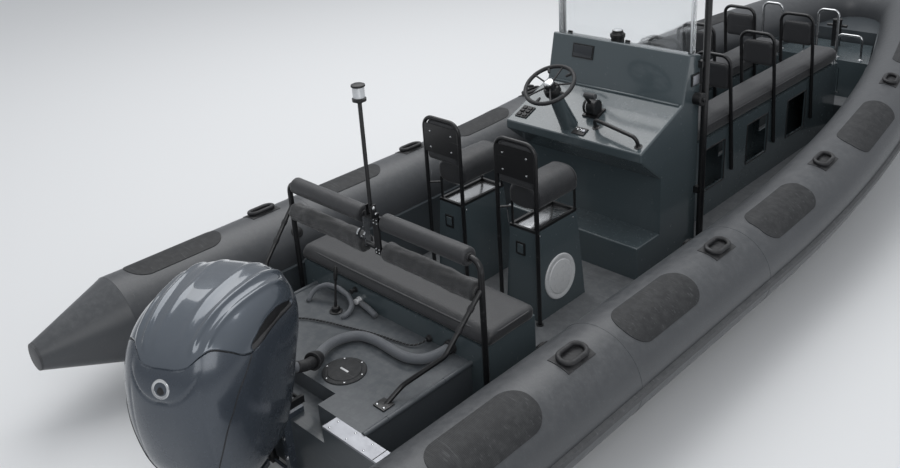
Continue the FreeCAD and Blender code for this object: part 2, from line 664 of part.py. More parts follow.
tilt = math.radians(size("wheelTilt"))
shaft = Vector(0, math.cos(tilt), -math.sin(tilt))
hub = Vector(size("wheelX"), size("wheelY"), size("wheelZ"))
rim = bind(doc.addObject("Part::Torus", "wheelRing"), Radius1="wheelRadius - wheelRim", Radius2="wheelRim")
spokes = []
for index in range(5):
    turn = math.radians(90 + 72 * index)
    spokes.append(rodPart("spoke%d" % index, (0, 0, -6), 6, "wheelRadius - wheelRim",
                          Vector(math.cos(turn), math.sin(turn), 0.04)))
boss = rodPart("wheelBoss", (0, 0, -22), 38, 34)
wheel = fusePart("steering_wheel", [rim, boss] + spokes)
wheel.Placement = Placement(hub, Rotation(Z, shaft * -1))
keepPart(wheel)
# the column flares from the wheel's boss down to the desk, along the shaft
reach = ((hub.z - size("deskAftTop")) - (hub.y - size("deskAft")) * math.tan(deskSlope)) / (
    math.sin(tilt) + math.cos(tilt) * math.tan(deskSlope))
column = Part.makeCone(40, 66, reach + 40, hub + shaft * (22 + size("seat")), shaft)
keep("helm_column", sorted(column.cut(consoleShape).Solids, key=lambda solid: solid.Volume)[-1])

throttle = fused([onFace(box((-62, -55, 0), (62, 55, 14)), onDesk(-62, 2838), deskSlope),
                  rod(tuple(onDesk(-104, 2838, 58)), tuple(onDesk(-20, 2838, 58)), 52),
                  bentTube([tuple(onDesk(-62, 2838, 60)), tuple(onDesk(-62, 2800, 190)), tuple(onDesk(30, 2790, 205))], 12, 26)])
controls = [onFace(box((-90, -50, 0), (90, 50, 6)), onDash(-365, 1340), dashSlope),
            onFace(box((-50, -60, 0), (50, 60, 8)), onDesk(-560, 2700), deskSlope),
            onFace(box((-48, -34, 0), (48, 34, 8)), onDesk(-42, 2652), deskSlope),
            throttle.cut(consoleShape),
            box((right, 3175, 1215), (right + 8, 3268, 1295)), rod((right, 3235, 1120), (right + 60, 3235, 1120), 42)]
keep("helm_controls", Part.makeCompound(controls))
compassY, compassZ = (size("dashY") + size("topFront")) / 2 + 18, (size("dashTop") + size("topFrontZ")) / 2
compass = fused([Part.makeCylinder(46, 46, Vector(-150, compassY, compassZ - 6)),
                 Part.makeSphere(44, Vector(-150, compassY, compassZ + 40))])
keep("compass", compass.cut(consoleShape))
rail = bentTube([tuple(onDesk(40, 2720)), tuple(onDesk(40, 2720, 75)), tuple(onDesk(420, 2650, 75)), tuple(onDesk(420, 2650))],
                13, 40)
keep("console_rail", rail)

# Jockey pods and their sprung seats

saddles, backs, frames, hatches = [], [], [], []
podFront = "podAft + podLength"
for label, alias in (("pod_starboard", "podStarX"), ("pod_port", "podPortX")):
    tag = label[4:]
    pod = bind(doc.addObject("Part::Wedge", label), Xmin="-podHalf - podFlare", Xmax="podHalf + podFlare",
               Ymin="floorTop", Ymax="podTop", Zmin="-podAft - podLength - 30", Zmax="20 - podAft",
               X2min="-podHalf", X2max="podHalf", Z2min="-podAft - podLength", Z2max="-podAft")
    pod.Placement = Placement(Vector(0, 0, 0), Rotation(X, 90))
    keepPart(standAt(pod, alias, 0, 0))
    saddle = boxPart("saddleBlank_" + tag, (alias + " - saddleHalf", "podAft + 10", "saddleFoot"),
                     ("2 * saddleHalf", "podLength", "saddleTop - saddleFoot"))
    topOf = atTop(saddle)
    saddles.append(roundPart("saddle_" + tag, saddle, size("saddleRound"),
                             lambda edge: topOf(edge) and edge.BoundBox.YLength > 100))
    back = boxPart("backBlank_" + tag, (alias + " - podBackHalf", "podHoopY - 7", "podBackFoot"),
                   ("2 * podBackHalf", 42, "podBackTop - podBackFoot"))
    upper = size("podBackTop") - 1
    doc.recompute()
    backs.append(roundPart("back_" + tag, back, 60,
                           lambda edge: edge.BoundBox.YLength > 40 and edge.BoundBox.ZMin > upper))
    podX, hoopY = size(alias), size("podHoopY")
    side = size("podBackHalf") + size("podHoopRadius") + size("seat")
    top = size("podBackTop") + size("podHoopRadius") + size("seat")
    frame = bentTube([(podX - side, hoopY, floorTop), (podX - side, hoopY, top),
                      (podX + side, hoopY, top), (podX + side, hoopY, floorTop)], size("podHoopRadius"), 74)
    frame = frame.fuse(box((podX - side, hoopY - 11, size("podBackFoot")), (podX + side, hoopY - 7 - size("seat"), top - 40)))
    bar, low = size("podBar"), size("podTop")
    outer = box((podX - size("podHalf"), size("podAft"), low), (podX + size("podHalf"), number(podFront), low + bar))
    topFrame = outer.cut(box((podX - size("podHalf") + bar, size("podAft") + bar, low - 1),
                             (podX + size("podHalf") - bar, number(podFront) - bar, low + bar + 1)))
    frame = frame.fuse(topFrame)
    for x in (-1, 1):
        postX = podX + x * (size("podHalf") - bar / 2)
        for y in (size("podAft") + 19, number(podFront) - bar / 2):
            frame = frame.fuse(rod((postX, y, low + 1), (postX, y, size("saddleFoot")), bar / 2 - 0.5))
        frame = frame.fuse(rod((postX, size("podAft") + 19, size("saddleFoot") - 40), (podX + x * side, hoopY, size("saddleFoot") - 40), 7))
        frame = frame.fuse(Part.makeCylinder(24, 5, Vector(podX + x * side, hoopY, floorTop)))
    frames.append(frame)
    doc.recompute()
    if label == "pod_starboard":
        # a round hatch on the outer side, in the plane of the flared wall
        hatchY, hatchZ = 2000, 253
        wallX = podX + size("podHalf")
        disc = rod((wallX, hatchY, hatchZ), (wallX + 38, hatchY, hatchZ), size("podHatchRadius"))
        lean = box((-1, -400, -400), (9, 400, 400))
        lean.rotate(Vector(0, 0, 0), Y, -math.degrees(math.atan2(size("podFlare"), size("podTop") - floorTop)))
        lean.translate(Vector(wallX + size("podFlare") * (size("podTop") - hatchZ) / (size("podTop") - floorTop), hatchY, hatchZ))
        hatches.append(disc.common(lean).cut(pod.Shape))
keepPart(groupPart("pod_cushions", saddles))
keepPart(groupPart("pod_backs", backs))
keep("pod_frames", Part.makeCompound(frames))
hatches.append(Part.makeCylinder(size("hatchRadius"), size("hatchThick"),
                                 Vector(size("hatchX"), size("hatchY"), size("platformTop"))))
keep("inspection_hatches", Part.makeCompound(hatches))

# The two saddle benches ahead of the console

rowPads, backPads, backFrames, hoops = [], [], [], []
out = size("rowHalf") + size("backTubeRadius") + size("seat")
for label, middle in (("bench_port", "rowX - rowOffset"), ("bench_starboard", "rowX + rowOffset")):
    tag = label[6:]
    shell = boxPart("shell_" + tag, (middle + " - rowHalf", "rowAft", "floorTop"),
                    ("2 * rowHalf", "rowFront - rowAft", "rowTop - floorTop"))
    tools = [boxPart("room_" + tag, (middle + " - rowHalf + rowWall", "rowAft + rowWall", "floorTop + rowWall"),
                     ("2 * rowHalf - 2 * rowWall", "rowFront - rowAft - 2 * rowWall", "rowTop - floorTop - 2 * rowWall"))]
    for index in range(3):
        tools.append(boxPart("hole_%s_%d" % (tag, index), (middle + " - 400", "holeFirst + %d * backPitch" % index, "holeFoot"),
                             (800, "holeLength", "holeTop - holeFoot")))
    keepPart(cutPart(label, shell, fusePart("space_" + tag, tools)))
    pad = boxPart("padBlank_" + tag, (middle + " - rowHalf", "rowAft", "rowTop"),
                  ("2 * rowHalf", "rowFront - rowAft", "rowCushion"))
    rowPads.append(roundPart("pad_" + tag, pad, size("rowRound"), atTop(pad)))
    x = number(middle + " + 1000") - 1000
    for index in range(3):
        y = size("backFirst") + index * size("backPitch")
        backFrames.append(bentTube([(x - out, y + size("backLean"), size("backFoot")), (x - out, y, size("backTop")),
                                    (x + out, y, size("backTop")), (x + out, y + size("backLean"), size("backFoot"))],
                                   size("backTubeRadius"), 70))
        backPads.append(boxPart("backPad_%s_%d" % (tag, index),
                                (middle + " - rowHalf", "backFirst + %d * backPitch + 10" % index, "backPadFoot"),
                                ("2 * rowHalf", 34, "backPadTop - backPadFoot")))
    hoopY = size("rowFront") + 12 + size("seat")
    hoops.append(bentTube([(x - 90, hoopY, 480), (x - 90, hoopY, size("hoopTop")),
                           (x + 90, hoopY, size("hoopTop")), (x + 90, hoopY, 480)], 12, 50))
keepPart(groupPart("bench_cushions", rowPads))
keep("back_frames", Part.makeCompound(backFrames))
keepPart(groupPart("back_pads", backPads))

# Bow locker with its drop-down door, the post and the bow rails

def lockerShape(inset, foot, top, aft, front):
    rings = []
    for y in (aft, front):
        low = floorHalf(y, size("foreDeckTop")) - size("lockerGap") - inset
        high = tubeAt(y)[0] - inner - size("lockerGap") - inset
        share = (top - size("foreDeckTop")) / (tubeAt(y)[1] - size("foreDeckTop"))
        lower = low + (high - low) * (foot - size("foreDeckTop")) / (tubeAt(y)[1] - size("foreDeckTop"))
        upper = low + (high - low) * share
        rings.append(Part.makePolygon([Vector(-lower, y, foot), Vector(lower, y, foot), Vector(upper, y, top),
                                       Vector(-upper, y, top), Vector(-lower, y, foot)]))
    return Part.makeLoft(rings, True, True)


wall = size("lockerWall")
hingeY, hingeZ = size("lockerAft") - 2, size("doorZ") + size("doorGap")
locker = lockerShape(0, size("foreDeckTop"), size("lockerTop"), size("lockerAft"), size("lockerFront"))
locker = locker.cut([lockerShape(wall, size("foreDeckTop") + wall, size("lockerTop") - wall,
                                 size("lockerAft") + wall, size("lockerFront") - wall),
                     box((-size("doorHalf"), size("lockerAft") - 5, size("doorZ")),
                         (size("doorHalf"), size("lockerAft") + wall + 5, size("doorZ") + size("doorHeight")))])
# a knuckle at each end of the door carries its hinge pin
for side in (-1, 1):
    near, far = sorted((side * (size("doorHalf") + 1), side * (size("doorHalf") + 15)))
    locker = locker.fuse(box((near, hingeY - 10, hingeZ - 10), (far, size("lockerAft") + 2, hingeZ + 10)))
locker = locker.cut(rod((-size("doorHalf") - 13, hingeY, hingeZ), (size("doorHalf") + 13, hingeY, hingeZ),
                        size("doorPin") + size("seat")))
keep("bow_locker", locker)
keepPart(fusePart("bow_locker_door", [
    boxPart("doorLeaf", ("doorGap - doorHalf", "lockerAft - 2", "doorZ + doorGap"),
            ("2 * doorHalf - 2 * doorGap", 10, "doorHeight - 2 * doorGap")),
    rodPart("doorPinRod", ("-doorHalf - 12", "lockerAft - 2", "doorZ + doorGap"), "doorPin", "2 * doorHalf + 24", X)]))
keepPart(fusePart("bow_post", [
    rodPart("postTube", (0, "postY", "lockerTop"), 42, "postHeight"),
    rodPart("postPin", (-95, "postY", "lockerTop + postHeight - 60"), 14, 190, X)]))
for side in (-1, 1):
    x, y, foot = side * 270, size("lockerAft") + 90, size("lockerTop")
    hoops.append(bentTube([(x - 110, y, foot), (x - 110, y, foot + 220), (x + 110, y, foot + 220), (x + 110, y, foot)], 11, 45))
keep("stainless_hoops", Part.makeCompound(hoops))

# Deck fittings: cable glands, a pump lever and its hose on the platform


def cordTube(points, radius):
    """A free cord's solid: straight runs joined by the largest arcs its two runs allow."""
    points = [Vector(*p) for p in points]
    edges, radii, start = [], [], points[0]
    for before, corner, after in zip(points, points[1:], points[2:]):
        into, out = (corner - before), (after - corner)
        shorter = min(into.Length, out.Length)
        into, out = into.normalize(), out.normalize()
        turn = into.getAngle(out)
        bend = 0.45 * shorter / math.tan(turn / 2)
        radii.append(bend)
        first, last = corner - into * 0.45 * shorter, corner + out * 0.45 * shorter
        middle = corner + (out - into).normalize() * (bend / math.cos(turn / 2) - bend)
        edges += [Part.LineSegment(start, first).toShape(), Part.Arc(first, middle, last).toShape()]
        start = last
    edges.append(Part.LineSegment(start, points[-1]).toShape())
    path = Part.Wire(edges)
    tube = path.makePipeShell([Part.Wire(Part.makeCircle(radius, points[0], points[1] - points[0]))], True, True)
    print("cord length", round(path.Length), "smallest radius", round(min(radii)),
          "volume share", round(tube.Volume / (math.pi * radius ** 2 * path.Length), 4))
    return tube


wallY = size("platformFront")
HOSE_POINTS = [(101, 66, 552), (138, 146, 528), (84, 258, 496), (10, 352, 468), (-22, 468, 452), (24, 572, 450),
               (130, 602, 450), (250, 598, 450), (370, 590, 450), (464, 628, 453), (500, 712, 455), (500, 784, 455)]
CABLE_POINTS = [(-452, 420, 430), (-410, 478, 430), (-328, 527, 430), (-223, 568, 430), (-120, 598, 430),
                (-22, 630, 430), (60, 656, 430), (142, 672, 430), (228, 688, 430), (300, 702, 431), (340, 740, 438), (340, 790, 438)]
keep("rigging_hose", cordTube(HOSE_POINTS, size("hoseRadius")))
keep("spiral_cable", cordTube(CABLE_POINTS, size("cableRadius")))
gland = rod((500, 784.3, 455), (500, wallY, 455), size("hoseRadius") + 6)
cableGland = rod((340, 790.3, 438), (340, wallY, 438), size("cableRadius") + 9)
deckGland = box((-482, 380, size("platformTop")), (-442, 412, size("platformTop") + 24))
lever = fused([box((-295, 665, size("platformTop")), (-235, 715, size("platformTop") + 30)),
               rod((-265, 690, size("platformTop") + 20), (-330, 742, 684), 9)])
hose = bentTube([(-420, wallY, 480), (-420, 690, 480), (-420, 650, size("platformTop"))], 16, 34)
hose = hose.cut(box((-500, 500, 300), (-300, wallY, size("platformTop"))))
keep("deck_fittings", Part.makeCompound([gland, cableGland, deckGland, lever, hose]))

# Towing eyes on the transom
eyes = []
for tag, place in (("Port", "-sternEyeX"), ("Star", "sternEyeX")):
    blank = fusePart("sternBlank" + tag, [
        boxPart("sternTongue" + tag, (place + " - 7", -42, "sternEyeZ - 22"), (14, 42, 44)),
        boxPart("sternPlate" + tag, (place + " - 40", -8, "sternEyeZ - 40"), (80, 8, 80)),
        rodPart("sternRing" + tag, (place + " - 7", -42, "sternEyeZ"), "sternEyeBore + 13", 14, X)])
    eyes.append(cutPart("sternEye" + tag, blank,
                        rodPart("sternBore" + tag, (place + " - 20", -42, "sternEyeZ"), "sternEyeBore", 40, X)))
keepPart(groupPart("stern_eyes", eyes))

# Outboard engine, built pointing straight aft and then turned about its steering axis

steerY = size("steerY")
axisPoint = Vector(0, steerY, 0)


def turned(shape):
    shape = shape.copy()
    shape.rotate(axisPoint, Z, size("steerAngle"))
    return shape


def ovalWire(z, wide, front, back, power):
    """A closed outline of eight arcs round the steering axis, between an ellipse and a box."""
    half, middle = (front + back) / 2, steerY + (front - back) / 2

    def at(step):
        turn = step * math.pi / 8
        across, along = math.sin(turn), math.cos(turn)
        return Vector(wide * math.copysign(abs(across) ** (2 / power), across),
                      middle - half * math.copysign(abs(along) ** (2 / power), along), z)
    return Part.Wire([Part.Arc(at(step), at(step + 1), at(step + 2)).toShape() for step in range(0, 16, 2)])


# height, half width, how far the front and the back stand off the steering axis
LOWER_COWL = [(300, 215, 0, 470), (380, 265, 60, 530), (480, 292, 110, 575), (600, 312, 150, 597), (700, 320, 185, 605),
              (799.7, 322, 245, 603)]
UPPER_COWL = [(800, 322, 245, 603), (900, 318, 275, 590), (1000, 300, 255, 550), (1080, 262, 200, 478),
              (1130, 202, 120, 385), (1155, 135, 40, 290), (1165, 60, -60, 200)]
LEG_RINGS = [(size("plateZ"), 54, -50, 330), (-100, 60, -50, 370), (size("apronBase") - 0.3, 74, -50, 400)]
STRUT_RINGS = [(size("propZ"), 28, -70, 290), (size("plateZ"), 40, -60, 350)]


def loftRings(rings, power):
    return Part.makeLoft([ovalWire(z, wide, front, back, power) for z, wide, front, back in rings], True)


keep("cowl_upper", turned(loftRings(UPPER_COWL, size("cowlPower"))))
lower = loftRings(LOWER_COWL, size("cowlPower"))
lower = lower.cut(box((-400, steerY - 62, size("apronBase") - 1), (400, steerY + 400, size("cowlBase"))))
hoseStart = Vector(*HOSE_POINTS[0])
bootAxis = (Vector(*HOSE_POINTS[1]) - hoseStart).normalize()
boot = Part.makeCone(52, 36, 70, hoseStart - bootAxis * 70.3, bootAxis)
keep("cowl_lower", turned(lower).fuse(boot))

# the leg, its plate, the strut, the bullet-shaped gearcase with its shaft's bore, and the skeg
boreRadius = size("shaftRadius") + size("seat")


def alongShaft(along, out):
    return Vector(0, steerY + along, size("propZ") + out)


bullet = Part.Face(Part.Wire([
    Part.LineSegment(alongShaft(78, 0), alongShaft(-300, 0)).toShape(),
    Part.LineSegment(alongShaft(-300, 0), alongShaft(-300, boreRadius)).toShape(),
    Part.LineSegment(alongShaft(-300, boreRadius), alongShaft(-380, boreRadius)).toShape(),
    Part.LineSegment(alongShaft(-380, boreRadius), alongShaft(-380, 54)).toShape(),
    Part.Arc(alongShaft(-380, 54), alongShaft(-230, size("gearRadius")), alongShaft(-60, size("gearRadius"))).toShape(),
    Part.Arc(alongShaft(-60, size("gearRadius")), alongShaft(30, 40), alongShaft(78, 10)).toShape(),
    Part.LineSegment(alongShaft(78, 10), alongShaft(78, 0)).toShape()]))
gearcase = bullet.revolve(Vector(0, steerY, size("propZ")), Y, 360)
skeg = prism([(-6, steerY - 90, size("propZ") - 40), (-6, steerY - 330, size("propZ") - 40),
              (-6, steerY - 372, size("skegBottom") + 30), (-6, steerY - 360, size("skegBottom")),
              (-6, steerY - 262, size("skegBottom")), (-6, steerY - 180, size("skegBottom") + 70)], (12, 0, 0))
plate = Part.Face(ovalWire(size("plateZ") - 6, 98, 40, 520, 3)).extrude(Z * 12)
yokes = [box((-48, steerY - 62, size("yokeZ")), (48, steerY + 34, size("cowlBase"))),
         box((-48, steerY - 62, 5), (48, steerY + 34, 38)),
         box((-48, steerY - 62, 5), (48, steerY - 46, size("cowlBase"))),
         rod((0, steerY, 30), (0, steerY, size("yokeZ") + 10), size("kingPin")),
         box((-18, steerY + 30, size("armZ")), (18, steerY + size("steerArm"), size("armZ") + 14)),
         rod((0, steerY + size("steerArm"), size("armZ")), (0, steerY + size("steerArm"), size("armZ") + 14), 18)]
leg = loftRings(LEG_RINGS, 2).fuse(plate)
for piece in [loftRings(STRUT_RINGS, 2), gearcase, skeg] + yokes:
    leg = leg.fuse(piece)
keep("outboard_leg", turned(leg))

# radius, chord, pitch in degrees from the plane of the disc, thickness
BLADE_RINGS = [(48, 84, 62, 16), (90, 126, 50, 12), (140, 140, 38, 8), (180, 96, 31, 5), (size("propRadius"), 40, 28, 3)]


def bladeSection(radius, chord, pitch, thick):
    """A lens of two arcs across the blade at one radius."""
    pitch = math.radians(pitch)
    along = Vector(math.cos(pitch), math.sin(pitch), 0) * (chord / 2)
    across = Vector(-math.sin(pitch), math.cos(pitch), 0) * (thick / 2)
    centre = Z * radius
    return Part.Wire([Part.Arc(centre - along, centre + across, centre + along).toShape(),
                      Part.Arc(centre + along, centre - across, centre - along).toShape()])


blade = Part.makeLoft([bladeSection(*row) for row in BLADE_RINGS], True)
propMiddle = Vector(0, steerY + size("propY"), size("propZ"))
propeller = Part.makeCone(size("hubRadius"), size("hubRadius") - 8, 115, propMiddle + Y * 60, Y * -1)
propeller = propeller.fuse(rod((0, steerY - 390, size("propZ")), (0, steerY - 302, size("propZ")), size("shaftRadius")))
for index in range(3):
    piece = blade.copy()
    piece.rotate(Vector(0, 0, 0), Y, 120 * index)
    piece.translate(propMiddle)
    propeller = propeller.fuse(piece)
keep("propeller", turned(propeller))

tiltY, tiltZ = size("tiltY"), size("tiltZ")
armInner = size("clampX") - size("clampThick") / 2
armOuter = armInner + size("clampThick")
railEnd = armOuter + 48
eyeY, eyeZ, ramY, ramZ = size("eyeY"), size("eyeZ"), size("ramY"), size("ramZ")
lugs = [box((side * 24 - 10, steerY, eyeZ - 34), (side * 24 + 10, eyeY + 16, tiltZ + 10)) for side in (-1, 1)]
ends = [fused([box((side * (railEnd - 9) - 9, tiltY - 20, tiltZ - 20), (side * (railEnd - 9) + 9, ramY + 20, ramZ + 18))])
        for side in (-1, 1)]
swivel = fused([rod((0, steerY, 45), (0, steerY, size("yokeZ") - 6), size("swivelRadius")),
                rod((-armInner + 1, tiltY, tiltZ), (armInner - 1, tiltY, tiltZ), size("tiltBlock")),
                rod((-railEnd, tiltY, tiltZ), (railEnd, tiltY, tiltZ), size("tiltTube")),
                box((-34, steerY, tiltZ - 26), (34, tiltY, tiltZ + 10)),
                rod((-railEnd, ramY, ramZ), (railEnd, ramY, ramZ), size("ramRod"))] + lugs + ends)
keep("swivel_bracket", swivel.cut(rod((0, steerY, 0), (0, steerY, size("yokeZ")), 16.05)))

# where the steering arm's eye stands across the boat with the engine turned
eyeAcross = "-steerArm * sin(steerAngle)"
keepPart(cutPart("steering_ram",
                 rodPart("ramBody", (eyeAcross + " - ramBodyHalf", "ramY", "ramZ"), "ramRadius", "2 * ramBodyHalf", X),
                 rodPart("ramBore", (-400, "ramY", "ramZ"), "ramRod + 0.05", 800, X)))

arms = []
for side in (-1, 1):
    low = side * size("clampX") - size("clampThick") / 2
    outline = [(low, -38, -10), (low, 0, -10), (low, 0, size("wellTop")), (low, size("transomThick"), size("wellTop")),
               (low, size("transomThick"), size("wellTop") + 30), (low, -2, size("wellTop") + 30),
               (low, -14, size("wellTop") + 44), (low, -14, tiltZ), (low, -36, tiltZ), (low, -44, 300)]
    arm = fused([prism(outline, (size("clampThick"), 0, 0)),
                 rod((low, tiltY, tiltZ), (low + size("clampThick"), tiltY, tiltZ), size("earRadius"))])
    arms.append(arm.cut(rod((-300, tiltY, tiltZ), (300, tiltY, tiltZ), size("tiltTube") + 0.05)))
pinY, pinZ = size("pinY"), size("pinZ")
arms.append(rod((-armInner, pinY, pinZ), (armInner, pinY, pinZ), 9))
keep("clamp_bracket", fused(arms))

toEye = (Vector(0, eyeY, eyeZ) - Vector(0, pinY, pinZ)).normalize()
pin, eye = Vector(0, pinY, pinZ), Vector(0, eyeY, eyeZ)
barrel = fused([Part.makeCylinder(size("barrelRadius"), size("barrelLength"), pin, toEye),
                rod((-26, pinY, pinZ), (26, pinY, pinZ), 22)])
barrel = barrel.cut([Part.makeCylinder(size("rodRadius") + 0.05, size("barrelLength"), pin + toEye * 34, toEye),
                     rod((-40, pinY, pinZ), (40, pinY, pinZ), 9.05)])
keep("tilt_cylinder", barrel)
reach = (eye - pin).Length
tiltRod = fused([Part.makeCylinder(size("rodRadius"), reach - 60, pin + toEye * 46, toEye),
                 rod((-12, eyeY, eyeZ), (12, eyeY, eyeZ), 17)]).cut(rod((-20, eyeY, eyeZ), (20, eyeY, eyeZ), 9))
keep("tilt_rod", tiltRod)

doc.recompute()
failed = [item.Label for item in doc.Objects if "Invalid" in item.State or "Error" in item.State]
for piece in nodes:
    if piece.Shape.isNull() or not piece.Shape.isValid():
        failed.append(piece.Label)
if failed:
    raise RuntimeError("failed: " + ", ".join(failed))
os.makedirs("parts", exist_ok=True)
for piece in nodes:
    piece.Shape.exportStep("parts/%s.step" % piece.Label)
    print(piece.Label, len(piece.Shape.Solids), round(piece.Shape.Volume / 1e6, 3))
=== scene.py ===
import bpy
import bmesh
import math
import random
from mathutils import Matrix, Vector, noise


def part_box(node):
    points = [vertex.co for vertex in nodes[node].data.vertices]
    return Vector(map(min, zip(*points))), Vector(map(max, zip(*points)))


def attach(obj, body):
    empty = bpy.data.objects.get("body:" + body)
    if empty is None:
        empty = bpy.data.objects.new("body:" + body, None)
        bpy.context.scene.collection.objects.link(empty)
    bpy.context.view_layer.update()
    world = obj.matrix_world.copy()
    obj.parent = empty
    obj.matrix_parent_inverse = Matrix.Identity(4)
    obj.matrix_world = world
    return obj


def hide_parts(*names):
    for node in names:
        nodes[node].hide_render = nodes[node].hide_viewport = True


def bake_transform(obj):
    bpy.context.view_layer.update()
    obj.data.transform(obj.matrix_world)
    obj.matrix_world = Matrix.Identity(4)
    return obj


# Rigid inflatable boat, afloat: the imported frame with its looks. Metres, +X starboard, +Y bow, +Z up.

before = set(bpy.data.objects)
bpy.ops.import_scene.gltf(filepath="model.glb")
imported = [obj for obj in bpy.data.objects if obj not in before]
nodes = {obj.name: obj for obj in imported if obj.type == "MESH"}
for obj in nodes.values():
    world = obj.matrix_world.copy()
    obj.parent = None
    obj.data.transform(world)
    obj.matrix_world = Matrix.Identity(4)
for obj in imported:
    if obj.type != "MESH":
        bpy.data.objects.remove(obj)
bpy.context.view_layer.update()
random.seed(7)
scene = bpy.context.scene
scene.view_settings.view_transform = "Standard"
print("frame loaded:", len(nodes), "nodes")

upward, forward, aftward = (0, 0, 1), (0, 1, 0), (0, -1, 0)
bothSides = ((-1, "Port"), (1, "Star"))

# body, finish and slot of the looks that several pieces share
plastic = ("boat", "blackPlastic", "black_plastic")
rubber = ("boat", "blackRubber", "black_plastic")
white = ("boat", "whitePlastic", "black_plastic")
steel = ("boat", "stainless", "chrome_rod")
blackTube = ("boat", "powderCoat", "black_tube")
seat = ("boat", "seatVinyl", "seat_vinyl")
clear = ("boat", "lampLens", "clear_acrylic")
hoseLook = ("boat", "hoseSleeve", "hose_black")


def linkObject(name, data):
    piece = bpy.data.objects.new(name, data)
    scene.collection.objects.link(piece)
    return piece


# Camera

cameraView = {
    "place": (3.431, -1.954, 3.190),
    "yaw": 45.384, "pitch": -21.484, "roll": -3.630,  # degrees
    "focalPixels": 912.154, "centrePixel": (455.545, 140.079), "imageSize": (900, 468),
}


def makeCamera(settings):
    yaw, pitch, roll = (math.radians(settings[key]) for key in ("yaw", "pitch", "roll"))
    ahead = Vector((-math.sin(yaw) * math.cos(pitch), math.cos(yaw) * math.cos(pitch), math.sin(pitch)))
    level = Vector((math.cos(yaw), math.sin(yaw), 0))
    upright = level.cross(ahead)
    right = level * math.cos(roll) + upright * math.sin(roll)
    up = upright * math.cos(roll) - level * math.sin(roll)
    data = bpy.data.cameras.new("photoCamera")
    data.sensor_fit = "HORIZONTAL"
    data.sensor_width = 36
    wide, high = settings["imageSize"]
    data.lens = settings["focalPixels"] * data.sensor_width / wide
    data.shift_x = (wide / 2 - settings["centrePixel"][0]) / wide
    data.shift_y = (settings["centrePixel"][1] - high / 2) / wide
    data.clip_end = 200
    camera = linkObject("photoCamera", data)
    turn = Matrix((right, up, -ahead)).transposed().to_4x4()
    camera.matrix_world = Matrix.Translation(settings["place"]) @ turn
    scene.camera = camera


makeCamera(cameraView)


# Small mesh helpers

def fromWork(name, work):
    # an object out of a bmesh
    mesh = bpy.data.meshes.new(name)
    work.to_mesh(mesh)
    work.free()
    return linkObject(name, mesh)


def smooth(piece):
    piece.data.polygons.foreach_set("use_smooth", [True] * len(piece.data.polygons))
    return piece


def sharpenEdges(piece, degrees):
    smooth(piece).data.set_sharp_from_angle(angle=math.radians(degrees))
    return piece


def linkMesh(name, verts, faces):
    mesh = bpy.data.meshes.new(name)
    mesh.from_pydata([tuple(v) for v in verts], [], faces)
    mesh.validate()
    piece = smooth(linkObject(name, mesh))
    work = bmesh.new()
    work.from_mesh(mesh)
    bmesh.ops.recalc_face_normals(work, faces=work.faces)
    work.to_mesh(mesh)
    work.free()
    return piece


def paintPiece(piece, finish):
    piece.data.materials.clear()
    piece.data.materials.append(paint[finish])


def dress(piece, look, *replaced):
    # everything a new piece needs: body, finish and the nodes it stands for; the look's slot is not used
    body, finish, slot = look
    paintPiece(piece, finish)
    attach(piece, body)
    if replaced:
        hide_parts(*replaced)
    return piece


def joined(name, parts):
    # one mesh object out of several
    work = bmesh.new()
    for part in parts:
        work.from_mesh(part.data)
        bpy.data.objects.remove(part)
    return fromWork(name, work)


def circle(count):
    return [2 * math.pi * k / count for k in range(count)]


def loftRings(name, rings, capped=True):
    # a skin over rings of the same number of points
    count = len(rings[0])
    verts = [point for ring in rings for point in ring]
    faces = []
    for row in range(len(rings) - 1):
        for i in range(count):
            a, b = row * count + i, row * count + (i + 1) % count
            faces.append((a, b, b + count, a + count))
    if capped:
        last = (len(rings) - 1) * count
        faces += [tuple(reversed(range(count))), tuple(range(last, last + count))]
    return linkMesh(name, verts, faces)


def tubeRing(point, side, other, radius, sides):
    return [point + (side * math.cos(t) + other * math.sin(t)) * radius for t in circle(sides)]


def sweepTube(name, points, radius, sides=20, bend=0.05):
    # a tube along a line whose corners are rounded
    line = roundCorners([Vector(p) for p in points], bend)
    rings = []
    side = None
    for i, point in enumerate(line):
        ahead = (line[min(i + 1, len(line) - 1)] - line[max(i - 1, 0)]).normalized()
        if side is None:
            side = ahead.orthogonal().normalized()
        side = (side - ahead * side.dot(ahead)).normalized()
        rings.append(tubeRing(point, side, ahead.cross(side), radius, sides))
    return loftRings(name, rings)


def closedTube(name, points, normal, radius):
    # a thin cord along a closed line in a plane
    rings = []
    for k, point in enumerate(points):
        ahead = (points[(k + 1) % len(points)] - points[k - 1]).normalized()
        rings.append(tubeRing(point, ahead.cross(normal).normalized(), normal, radius, 8))
    return loftRings(name, rings + rings[:1], capped=False)


def roundCorners(points, bend, steps=6):
    line = [points[0]]
    for before, corner, after in zip(points, points[1:], points[2:]):
        into, out = (corner - before).normalized(), (after - corner).normalized()
        turn = into.angle(out)
        if turn < 0.02:
            line.append(corner)
            continue
        most = 0.48 * min((corner - before).length, (after - corner).length)
        cut = min(bend * math.tan(turn / 2), most)
        first, last = corner - into * cut, corner + out * cut
        for step in range(steps + 1):
            t = step / steps
            line.append(first.lerp(corner, t).lerp(corner.lerp(last, t), t))
    line.append(points[-1])
    return line


def lathe(name, profile, centre, axis, sides):
    # turns a profile of (radius, height) pairs in millimetres about an axis
    turn = Vector(upward).rotation_difference(Vector(axis)).to_matrix()
    rings = []
    for radius, height in profile:
        spots = [Vector((radius * math.cos(t), radius * math.sin(t), height)) for t in circle(sides)]
        rings.append([Vector(centre) + turn @ spot / 1000 for spot in spots])
    return sharpenEdges(loftRings(name, rings), 35)


